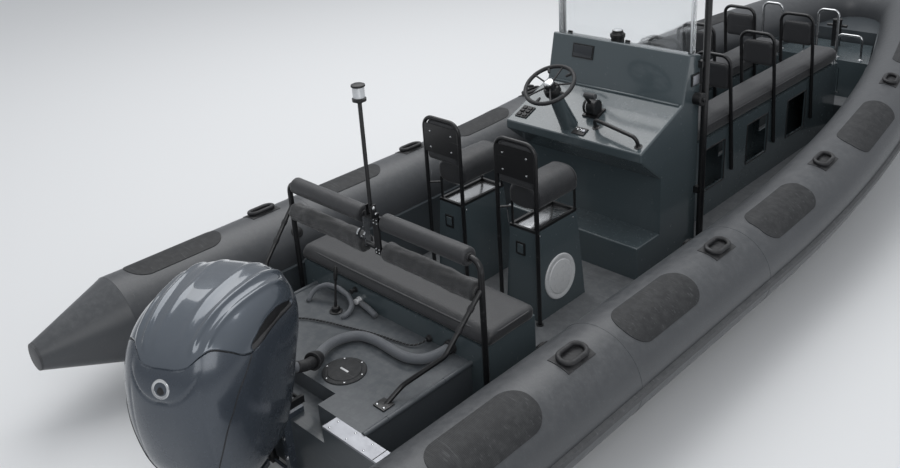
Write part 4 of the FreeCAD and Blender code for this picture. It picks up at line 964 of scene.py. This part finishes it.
panelRight = Vector((-1, 0, 0))
panelUp = Vector(upward)
panelNormal = panelRight.cross(panelUp)


def softPanel(name, centre, half, thick, corner, crown, lumps):
    # a padded board: an outline with rounded corners, thick edges and a crowned front
    seed = seedPlace()
    outline = roundedOutline(half, corner, 12)
    shares = [0.0, 0.2, 0.4, 0.58, 0.72, 0.83, 0.91, 0.96, 0.985, 1.0]
    rings = []
    for front, order in ((False, shares[1:]), (True, shares[::-1][:-1])):
        for share in order:
            edge = thick / 2 * (1 - share ** 9) ** 0.5
            ring = []
            for x, y in outline:
                place = centre + (panelRight * x + panelUp * y) * share
                if front:
                    bulge = crown
                    for length, reach in zip((x, y), half):
                        bulge *= 1 - (share * abs(length) / reach) ** 2
                    place += panelNormal * (edge + bulge - crown * 0.5)
                    place += panelNormal * lumps * wrinkle(place, seed, 13, 35.1) * (1 - share ** 6)
                else:
                    place -= panelNormal * edge
                ring.append(place)
            rings.append(ring)
    return loftRings(name, rings)


def panelPiping(name, centre, half, corner):
    # the sewn cord round a padded board
    points = [centre + panelRight * x + panelUp * y for x, y in roundedOutline(half, corner, 8)]
    return closedTube(name, points, panelNormal, 0.0032)


saddleSide, saddleTop, saddleFoot = 2 / 2.6, 2 / 2.15, 2 / 4.5  # powers of the saddle's section


def saddleRoll(name, low, high, rounding, crown, lumps):
    # a saddle along Y: a half-round top over a squarer foot, domed at both ends
    half, centre = (high - low) / 2, (low + high) / 2
    seed = seedPlace()
    stations = [(rounding * (1 - c), s) for c, s in quarter(7)]
    stations += [(rounding + (2 * half.y - 2 * rounding) * step / 40, 1.0) for step in range(1, 40)]
    stations += [(2 * half.y - rounding + rounding * s, c) for c, s in quarter(7)]
    rings = []
    for along, share in stations:
        inset = rounding * 0.9 * (1 - share)
        middle = 1 - abs(along / half.y - 1) ** 2.5
        ring = []
        for t in circle(64):
            c, s = math.cos(t), math.sin(t)
            x = (half.x - inset) * signedPower(c, saddleSide)
            z = (half.z - inset) * signedPower(s, saddleTop if s > 0 else saddleFoot)
            place = Vector((centre.x + x, low.y + along, centre.z + z + crown * middle * max(s, 0)))
            place += Vector((c, 0, max(s, 0))) * lumps * wrinkle(place, seed, 8, 21.6)
            place.z = max(place.z, low.z)
            ring.append(place)
        rings.append(ring)
    return loftRings(name, rings)


def saddleSeam(name, low, high, along):
    # a sewn seam over the saddle's half-round top
    half, centre, reach = (high - low) / 2, (low + high) / 2, 0.0005
    points = []
    for step in range(37):
        t = math.pi * step / 36
        points.append((centre.x + (half.x + reach) * signedPower(math.cos(t), saddleSide), along,
                       centre.z + (half.z + reach) * abs(math.sin(t)) ** saddleTop))
    return sweepTube(name, points, 0.003, sides=8, bend=0.004)


def makeFramePads():
    tieProfile = [(16.3, -2), (21, -2), (23.5, 3), (21, 8), (16.3, 8)]
    for index, (low, high) in enumerate(islands("frame_pads")):
        upper = high.z > 1.0
        lumps, folds, fuller, finish = (
            (0.0015, 0.0008, 0.003, "seatVinyl") if upper else (0.008, 0.0095, 0.013, "sleeveFabric"))
        low, high = low - Vector((0, fuller, fuller)), high + Vector((0, fuller, fuller))
        pad = paddedRoll("framePad%d" % index, low, high, 0.0163, 0.012, lumps, folds)
        dress(pad, ("boat", finish, "seat_vinyl"), *(["frame_pads"] if index == 0 else []))
        middle = (low + high) / 2
        for x, way, tag in ((low.x + 0.001, -1, "In"), (high.x - 0.001, 1, "Out")):
            turned("framePadTie%d%s" % (index, tag), tieProfile, (x, middle.y, middle.z), (way, 0, 0), 28,
                   ("boat", "blackRubber", "seat_vinyl"))


def makePodSeats():
    for index, (low, high) in enumerate(islands("pod_cushions")):
        low.z -= 0.034  # the cover hangs below the seat's board
        saddle = saddleRoll("podSaddle%d" % index, low, high, 0.034, 0.006, 0.004)
        dressSoft(saddle, "pod_cushions", index)
        for end, along in (("Aft", low.y + 0.030), ("Fore", high.y - 0.030)):
            dress(saddleSeam("podSaddleSeam%d%s" % (index, end), low, high, along), seat)
    # node, name of its pieces, how far they hang below the solid, corner radii, crown
    for node, name, hang, corner, crown in (("pod_backs", "podBack", 0.055, (0.062, 0.020), 0.010),
                                            ("back_pads", "backPad", 0.0, (0.045, 0.030), 0.008)):
        for index, (low, high) in enumerate(islands(node)):
            low.z -= hang
            centre, half = (low + high) / 2, (high - low) / 2
            outer = (half.x, half.z)
            panel = softPanel("%s%d" % (name, index), centre, outer, 2 * half.y, corner, crown, 0.003)
            dressSoft(panel, node, index)
            cordLine = centre + Vector((0, half.y * 0.35, 0))
            dress(panelPiping("%sSeam%d" % (name, index), cordLine, outer, corner), seat)


makeFramePads()
makePodSeats()
print("padded pieces made")


# Fittings and trim

deskSlope, dashSlope = math.radians(20.96), math.radians(77.4)
wallY = 0.8097  # the wall ahead of the platform
platformSkin = 0.4203
tubeX, tubeZ = 1.198, 0.437  # middle of a side tube
screenPort, screenStar, screenTop = -0.6295, 0.4535, 1.8385


def onDesk(x, y, high=0.0):
    # a point on the sloping desk, or above it square to its face
    z = 0.925 + (y - 2.592) * math.tan(deskSlope)
    return Vector((x, y - high * math.sin(deskSlope), z + high * math.cos(deskSlope)))


def onDash(x, z):
    return Vector((x, 3.075 + (z - 1.110) / math.tan(dashSlope), z))


def leaned(piece, place, tilt, look):
    # sets a piece made at the origin on a sloping face
    piece.data.transform(Matrix.Translation(place) @ Matrix.Rotation(tilt, 4, "X"))
    return dress(piece, look)


def screwHeads(name, places, axis, radius, height, look=steel):
    # domed heads that share an axis, as one piece; radius and height in millimetres
    profile = [(radius, 0), (radius, height * 0.35), (radius * 0.82, height * 0.75), (radius * 0.45, height),
               (0, height)]
    return dress(joined(name, [lathe(name + "Part", profile, place, axis, 16) for place in places]), look)


def makePlatformTrim():
    centre = Vector((0.193, 0.341, 0.420))
    turned("platformHatch",
           [(116, 0), (116, 4), (112, 7), (96, 7.5), (93, 5.5), (90, 5.5), (87, 8.5), (60, 9), (0, 9)],
           centre, upward, 72, ("boat", "patchRubber", "black_plastic"), "inspection_hatches")
    ring = [centre + Vector((0.104 * math.cos(a), 0.104 * math.sin(a), 0.0072))
            for a in (math.radians(20 + 60 * k) for k in range(6))]
    screwHeads("platformHatchScrews", ring, upward, 6.5, 3)
    boxed("platformHatchSlot", (0.163, 0.335, 0.4285), (0.223, 0.347, 0.4315), 0.0014, white)
    for side, tag in bothSides:
        footX, footTop = side * 0.553, 0.4275
        boxed("braceFoot" + tag, (footX - 0.040, 0.252, 0.4205), (footX + 0.040, 0.326, footTop), 0.003,
              blackTube)
        bolts = [(footX + shift, 0.268, footTop) for shift in (-0.024, 0.024)]
        screwHeads("braceBolts" + tag, bolts, upward, 8, 5)
        first, last = Vector((side * 0.764, 0.791, 0.907)), Vector((side * 0.735, 0.545, 0.640))
        for index, share in enumerate((0.30, 0.62)):
            turned("strapBand%s%d" % (tag, index), band(13.5, 16.5, 14, 13), first.lerp(last, share),
                   last - first, 24, ("boat", "blackRubber", "black_tube"))
        screws = [(side * 0.667 + x, y, 0.419)
                  for x in (-0.19, -0.065, 0.055, 0.185) for y in (0.016, 0.069)]
        screwHeads("capScrews" + tag, screws, upward, 6, 2.5)
        jointX = side * 0.800
        boxed("capJoint" + tag, (jointX - 0.0018, 0.001, 0.4185), (jointX + 0.0018, 0.084, 0.4202), 0.0004,
              rubber)
        for index, y in enumerate((0.24, 0.62)):
            turned("beadJoint%s%d" % (tag, index), band(14, 15.8, 8, 7), (side * 0.640, y, 0.416), forward,
                   28, ("boat", "platformCoat", "deck_paint"))


def makePlumbing():
    # glands, the cable's deck plate, pump lever with its base, hoses with their fittings, the hose's cup
    turned("hoseGland",
           [(27.2, -25.7), (34, -25.7), (36, -20), (33, -16), (33, -8), (40, -4), (40, 0), (0, 0)],
           (0.500, wallY, 0.455), forward, 40, rubber, "deck_fittings")
    turned("cableGland", [(7, -19.5), (12, -19.5), (16, -14), (16, -6), (20, -3), (20, 0), (0, 0)],
           (0.340, wallY, 0.438), forward, 32, rubber)
    boxed("cableDeckPlate", (-0.482, 0.380, platformSkin), (-0.442, 0.412, 0.444), 0.006, plastic)
    turned("pumpBase", [(38, 0), (38, 5), (26, 9), (23, 28), (17, 34), (0, 36)],
           (-0.289, 0.676, platformSkin), upward, 36, plastic)
    foot, grip = Vector((-0.289, 0.676, 0.452)), Vector((-0.318, 0.730, 0.684))
    handle = [(8, 0), (9, 20), (6.5, 40), (6.5, 150), (10.5, 155), (11.5, 170), (11.5, 225), (7, 236),
              (0, 238)]
    turned("pumpLever", handle, foot, grip - foot, 24, plastic)
    loop = [(-0.500, 0.640, 0.421), (-0.512, 0.672, 0.448), (-0.500, 0.712, 0.480), (-0.445, 0.745, 0.508),
            (-0.360, 0.765, 0.505), (-0.280, 0.770, 0.480), (-0.220, 0.745, 0.452), (-0.196, 0.690, 0.438),
            (-0.205, 0.650, 0.421)]
    dress(sweepTube("bilgeHose", loop, 0.0145, bend=0.09), hoseLook)
    stub = [(-0.205, 0.795, 0.452), (-0.130, 0.786, 0.446), (-0.055, 0.772, 0.438)]
    dress(sweepTube("drainHose", stub, 0.0165, bend=0.09), hoseLook)
    turned("drainFitting", [(22, 0), (22, 8), (13, 10), (13, 20), (17.5, 22), (17.5, 34), (10, 36), (0, 36)],
           (-0.232, wallY, 0.455), aftward, 28, white)
    turned("drainTap", [(18, 0), (18, 6), (10, 8), (10, 26), (15, 28), (15, 36), (0, 38)],
           (-0.262, wallY, 0.512), aftward, 24, plastic)
    start, bend = Vector(hoseRoute[1]), Vector(hoseRoute[2])
    along, middle = bend - start, start.lerp(bend, 0.88)
    cup = lathe("hoseCup", [(35.5, -34), (46, -34), (49, -30), (45, -6), (39, 20), (36, 30), (32.5, 30),
                            (28.8, 4), (30, -10), (35.5, -34)], middle, along, 40)
    bendWithTilt(cup, "blackRubber")
    under = [point for point in routePoints(hoseRoute)
             if (point - middle).dot(along.normalized()) < -0.020
             and (point - Vector(hoseRoute[0])).length > 0.045]
    cuff = sweepTube("hoseCuff", under, 0.0298, sides=28, bend=0.02)
    bendWithTilt(cuff, "blackRubber")


def makeWheelTrim():
    hub, up, right = Vector((-0.166, 2.492, 1.300)), Vector((0, -0.506, 0.8625)), Vector((1, 0, 0))
    turned("wheelCap", [(30, 16.2), (34, 16.5), (35, 21), (31, 27), (18, 30.5), (0, 31.5)], hub, up, 48,
           ("helm", "stainless", "chrome_rod"))
    across = up.cross(right).normalized()
    for index in range(5):
        turn = math.radians(90 + 72 * index)
        out = (right * math.cos(turn) - across * math.sin(turn)).normalized()
        turned("spokeGrip%d" % index, [(6.2, 118), (8.5, 122), (10, 135), (11, 156)], hub - up * 0.001, out,
               20, ("helm", "blackRubber", "black_rubber"))
    turned("wheelHousing", [(40.5, -22.5), (50, -26), (56, -36), (57, -70), (54, -78), (50, -80)], hub, up,
           48, plastic)


def makeSwitches():
    rockers = []
    for column in (-1, 1):
        for row in range(3):
            rocker = roundedBox("rocker", (-0.016, -0.013, 0.0085), (0.016, 0.013, 0.0165), 0.003)
            lean = Matrix.Rotation(math.radians(9 if (row + column) % 2 else -9), 4, "X")
            rocker.data.transform(Matrix.Translation((column * 0.024, (row - 1) * 0.036, 0)) @ lean)
            rockers.append(rocker)
    leaned(joined("rockerSwitches", rockers), onDesk(-0.560, 2.700), deskSlope, plastic)
    panel = onDesk(-0.042, 2.652)
    for index, x in enumerate((-0.026, 0.004)):
        stalk = lathe("smallSwitch%d" % index, [(9, 8), (9, 12), (4, 13), (3.5, 26), (0, 27)], (x, 0.006, 0),
                      upward, 20)
        leaned(stalk, panel, deskSlope, steel)
    keyhole = lathe("keySwitch", [(13, 8), (13, 14), (10, 17), (0, 17.5)], (0.031, 0.002, 0), upward, 24)
    leaned(keyhole, panel, deskSlope, ("boat", "brushedAlloy", "chrome_rod"))


def makeDeskTrim():
    makeSwitches()
    display = roundedBox("dashDisplay", (-0.080, -0.041, 0.0062), (0.080, 0.041, 0.0085), 0.001)
    leaned(display, onDash(-0.365, 1.340), dashSlope, ("boat", "screenGlass", "black_plastic"))
    head = onDesk(-0.062, 2.838, 0.058)
    for tag, x, way in (("Star", -0.020, 1), ("Port", -0.104, -1)):
        turned("throttleRing" + tag, [(53, -10), (54.5, -8), (54.5, 1), (47, 5), (44, 4), (30, 5.5), (0, 6)],
               (x, head.y, head.z), (way, 0, 0), 48, plastic)
    arc = [(-0.082, head.y - 0.0525 * math.cos(a), head.z + 0.0525 * math.sin(a))
           for a in (math.radians(-30 + 5 * step) for step in range(27))]
    dress(sweepTube("throttleMark", arc, 0.0022, sides=8, bend=0.002), white)
    start, end = onDesk(-0.060, 2.8, 0.190), onDesk(0.030, 2.79, 0.205)
    turned("throttleGrip", [(12, -2), (18.5, 2), (20.5, 12), (20.5, 88), (17.5, 98), (8, 102), (0, 102)],
           start, end - start, 32, ("boat", "strakeRubber", "black_plastic"))
    for tag, place in (("Port", onDesk(0.040, 2.720)), ("Star", onDesk(0.420, 2.650))):
        foot = lathe("railFoot" + tag, [(0, -1), (27, -1), (27, 3), (18, 6), (13.6, 12)], (0, 0, 0), upward,
                     32)
        leaned(foot, place, deskSlope, blackTube)
    ledge = sweepTube("dashLedge", [(-0.630, 3.066, 1.112), (0.454, 3.066, 1.112)], 0.010, sides=16)
    dress(ledge, ("boat", "gelcoat", "console_paint"))
    for name, profile, look in (
            ("Ring", [(46.5, 22), (52, 26), (53, 34), (53, 48), (49, 52), (46.5, 52)], plastic),
            ("Lens", [(33, 69), (34, 73.5), (30, 80), (18, 85.5), (0, 87)], clear),
            ("Bezel", [(33.5, 68.5), (38, 66), (38.5, 70.5), (35.5, 75.5), (33.5, 75)], plastic)):
        turned("compass" + name, profile, (-0.150, 3.2395, 1.425), upward, 44, look)


def makeConsoleSide():
    boxed("socketPlate", (0.4853, 3.183, 1.223), (0.4895, 3.260, 1.287), 0.0018,
          ("boat", "brushedAlloy", "chrome_rod"))
    turned("batteryKnob", [(42.5, -16), (46, -14), (46, -2), (40, 3), (18, 4), (16, 16), (0, 18)],
           (0.537, 3.235, 1.120), (1, 0, 0), 40, plastic)
    rim = [(screenPort, 3.199, screenTop), (screenPort, 3.2905, screenTop), (screenStar, 3.2905, screenTop),
           (screenStar, 3.199, screenTop)]
    dress(sweepTube("screenTrim", rim, 0.0062, sides=12, bend=0.056), clear)
    for tag, x in (("Port", screenPort), ("Star", screenStar)):
        edge = sweepTube("screenEdge" + tag, [(x, 3.198, 1.436), (x, 3.198, screenTop)], 0.0062, sides=12)
        dress(edge, clear)
    clips = []
    for x in (-0.590, -0.088, 0.412):
        clips.append(roundedBox("clip", (x - 0.020, 3.269, 1.4145), (x + 0.020, 3.278, 1.428), 0.002))
    dress(joined("screenClips", clips), plastic)
    for tag, x in (("Port", -0.685), ("Star", 0.509)):
        turned("archFoot" + tag, [(0, 0), (52, 0), (52, 5), (30, 9), (24.5, 16)], (x, 3.306, 0.0283), upward,
               36, blackTube)


def makePodTrim():
    turned("podHatch", [(150, -0.5), (150, 3), (145, 7.5), (124, 8), (120, 5.5), (114, 5.5), (109, 9.5),
                        (60, 11.5), (0, 11.8)], (0.2825, 2.0, 0.253), (0.99807, 0, 0.06217), 80,
           ("boat", "whitePlastic", "console_paint"))
    lean = -math.atan2(0.020, 0.594)
    for tag, podX, shift in (("Star", 0.159, -0.012), ("Port", -0.452, -0.014)):
        boxed("podPlate" + tag, (podX - 0.080, 1.816, 0.6225), (podX + 0.080, 2.188, 0.6265), 0.0012, steel)
        face = (podX + shift, 1.7917, 0.494)
        for name, wide, high, deep, finish in (("podFrame", 0.036, 0.043, 0.006, "blackPlastic"),
                                               ("podPanel", 0.023, 0.030, 0.0085, "gelcoat")):
            plate = roundedBox(name + tag, (-wide, -deep, -high), (wide, 0.0, high), 0.002)
            leaned(plate, face, lean, ("boat", finish, "black_plastic"))
        screws = [(podX + x, 1.744, z) for x in (-0.092, 0.092) for z in (1.020, 1.128)]
        screwHeads("podScrews" + tag, screws, aftward, 7.5, 4)
        screws = [(podX + 0.1012, y, 0.590) for y in (1.84, 2.17)]
        screwHeads("podSideScrews" + tag, screws, (0.998, 0, 0.062), 6, 3)


def makeMastTrim():
    mastX = 0.038
    foot = (mastX, 0.740, 1.735)
    mastPlastic = ("mast", "blackPlastic", "black_plastic")
    turned("lampBase", [(12, -10), (22, -4), (36, 2), (36.5, 16), (31, 19.5), (0, 19.5)], foot, upward, 40,
           mastPlastic, "mast_light")
    profile = [(29, 19.7)]
    for step in range(9):
        profile += [(30, 22 + 6 * step), (31.5, 25 + 6 * step)]
    turned("lampLens", profile + [(29, 76)], foot, upward, 40, ("mast", "lampLens", "clear_acrylic"))
    turned("lampCap", [(0, 76.3), (33, 76.3), (36.5, 79), (35.5, 87), (28, 90.5), (0, 91.5)], foot, upward,
           40, mastPlastic)
    for side, tag in bothSides:
        screwHeads("mastBolt" + tag, [(mastX + side * 0.0242, 0.740, 1.150)], (side, 0, 0), 11, 8,
                   ("mast", "stainless", "chrome_rod"))
        screwHeads("mastCheekBolt" + tag, [(mastX + side * 0.0231, 0.752, 1.112)], (side, 0, 0), 8, 6)
    bolts = [(mastX + x, 0.7605, z) for x in (-0.012, 0.012) for z in (0.871, 0.891, 1.047, 1.067)]
    screwHeads("clampBolts", bolts, aftward, 5.5, 4)


def makeTubeTrim():
    for side, tag in bothSides:
        for index, y in enumerate((-0.165, 1.16, 2.46)):
            turned("tubeSeam%s%d" % (tag, index), band(257, 259.2, 26, 25), (side * tubeX, y, tubeZ),
                   forward, 96, ("boat", "tubeFabric", "tube_fabric"))
        normal = Vector((-side * 0.80, 0, 0.60))
        for index, y in enumerate((0.95, 2.30)):
            place = Vector((side * tubeX, y, tubeZ)) + normal * 0.2575
            turned("tubeValve%s%d" % (tag, index),
                   [(40, -1), (40, 3), (33, 6), (25, 6.5), (24, 12), (18, 15), (0, 16)], place, normal, 36,
                   ("boat", "blackPlastic", "black_rubber"))
        turned("coneCap" + tag, [(0, -4), (70, -4), (79, -1), (80.5, 6), (85, 20), (80, 22)],
               (side * tubeX, -0.668, tubeZ), forward, 56, ("boat", "strakeRubber", "black_rubber"))


def makeEngineTrim():
    for side, tag in bothSides:
        bolts = [(side * 0.155, -0.0365, z) for z in (0.10, 0.22)]
        screwHeads("transomBolts" + tag, bolts, aftward, 13, 9)
    outlet = engineTurn @ Vector((0, -0.30, 0.33))
    turned("cowlDrain", [(12, 0), (12, 4), (0, 6)], outlet, (0, 0, -1), 20,
           ("engine", "stainless", "chrome_rod"))


def makeBowTrim():
    for side, tag in bothSides:
        screwHeads("hingeScrews" + tag, [(side * 0.238, 6.2485, 0.267)], aftward, 4.5, 3)
    boxed("doorLatch", (-0.030, 6.250, 0.452), (0.030, 6.2575, 0.478), 0.003,
          ("locker_door", "stainless", "chrome_rod"))
    turned("doorLatchKnob", [(13, 0), (13, 6), (6, 9), (0, 9)], (0, 6.2502, 0.465), aftward, 24,
           ("locker_door", "blackPlastic", "black_plastic"))
    for side in (-1, 1):
        for index, shift in enumerate((-0.110, 0.110)):
            turned("hoopFoot%d%d" % (side, index), [(0, 0), (28, 0), (28, 3), (16, 6), (11.5, 10)],
                   (side * 0.270 + shift, 6.350, 0.5752), upward, 28, steel)
    turned("bowPostCap", [(42.5, -12), (45, -10), (45, 2), (36, 6), (0, 8)], (0, 6.700, 0.835), upward, 40,
           blackTube)


def makeBenchTrim():
    # rubber edging round each hand hole in the bench sides
    low, high = 0.2345, 0.5655
    for middle, tag in ((-0.310, "Port"), (0.210, "Star")):
        for side in (-1, 1):
            x = middle + side * 0.1258
            for index in range(3):
                start = 3.610 + 0.690 * index
                aft, fore, join = start - 0.0055, start + 0.3355, start + 0.165
                line = [(x, join, high), (x, aft, high), (x, aft, low), (x, fore, low), (x, fore, high),
                        (x, join, high)]
                dress(sweepTube("holeEdge%s%d%d" % (tag, side, index), line, 0.0055, sides=10, bend=0.012),
                      ("boat", "blackRubber", "black_rubber"))


for stage in (makePlatformTrim, makePlumbing, makeWheelTrim, makeDeskTrim, makeConsoleSide, makePodTrim,
              makeMastTrim, makeTubeTrim, makeEngineTrim, makeBowTrim, makeBenchTrim):
    stage()
    print(stage.__name__, "done")


# Stage

def makeFloor():
    work = bmesh.new()
    bmesh.ops.create_grid(work, x_segments=1, y_segments=1, size=60)
    floor = fromWork("stageFloor", work)
    material, _, shader = newMaterial("paleFloor")
    shader["Base Color"].default_value = (0.80, 0.81, 0.82, 1)
    shader["Roughness"].default_value = 0.6
    floor.data.materials.append(material)


def makeSky():
    world = bpy.data.worlds.new("paleRoom")
    scene.world = world
    world.use_nodes = True
    tree = world.node_tree
    back = tree.nodes["Background"].inputs
    height = addNode(tree, "SeparateXYZ", [(0, addNode(tree, "TexCoord").outputs["Generated"])])
    ramp = addNode(tree, "ValToRGB", [(0, height.outputs["Z"])])
    for stop, position, colour in zip(ramp.color_ramp.elements, (0.0, 0.75),
                                      ((0.50, 0.52, 0.55, 1), (0.92, 0.94, 0.97, 1))):
        stop.position, stop.color = position, colour
    tree.links.new(ramp.outputs["Color"], back["Color"])
    back["Strength"].default_value = 0.62


def makeLamps():
    for name, place, aim, wide, power in (("skyPanel", (-3.0, 5.0, 9.0), (0, 3.5, 0), 9.0, 520),
                                          ("sidePanel", (7.0, -3.0, 6.0), (0, 3.0, 0.5), 5.0, 170)):
        lamp = bpy.data.lights.new(name, "AREA")
        lamp.shape, lamp.size, lamp.energy = "SQUARE", wide, power
        panel = linkObject(name, lamp)
        panel.location = place
        panel.rotation_mode = "QUATERNION"
        panel.rotation_quaternion = (Vector(aim) - Vector(place)).to_track_quat("-Z", "Y")


makeFloor()
makeSky()
makeLamps()
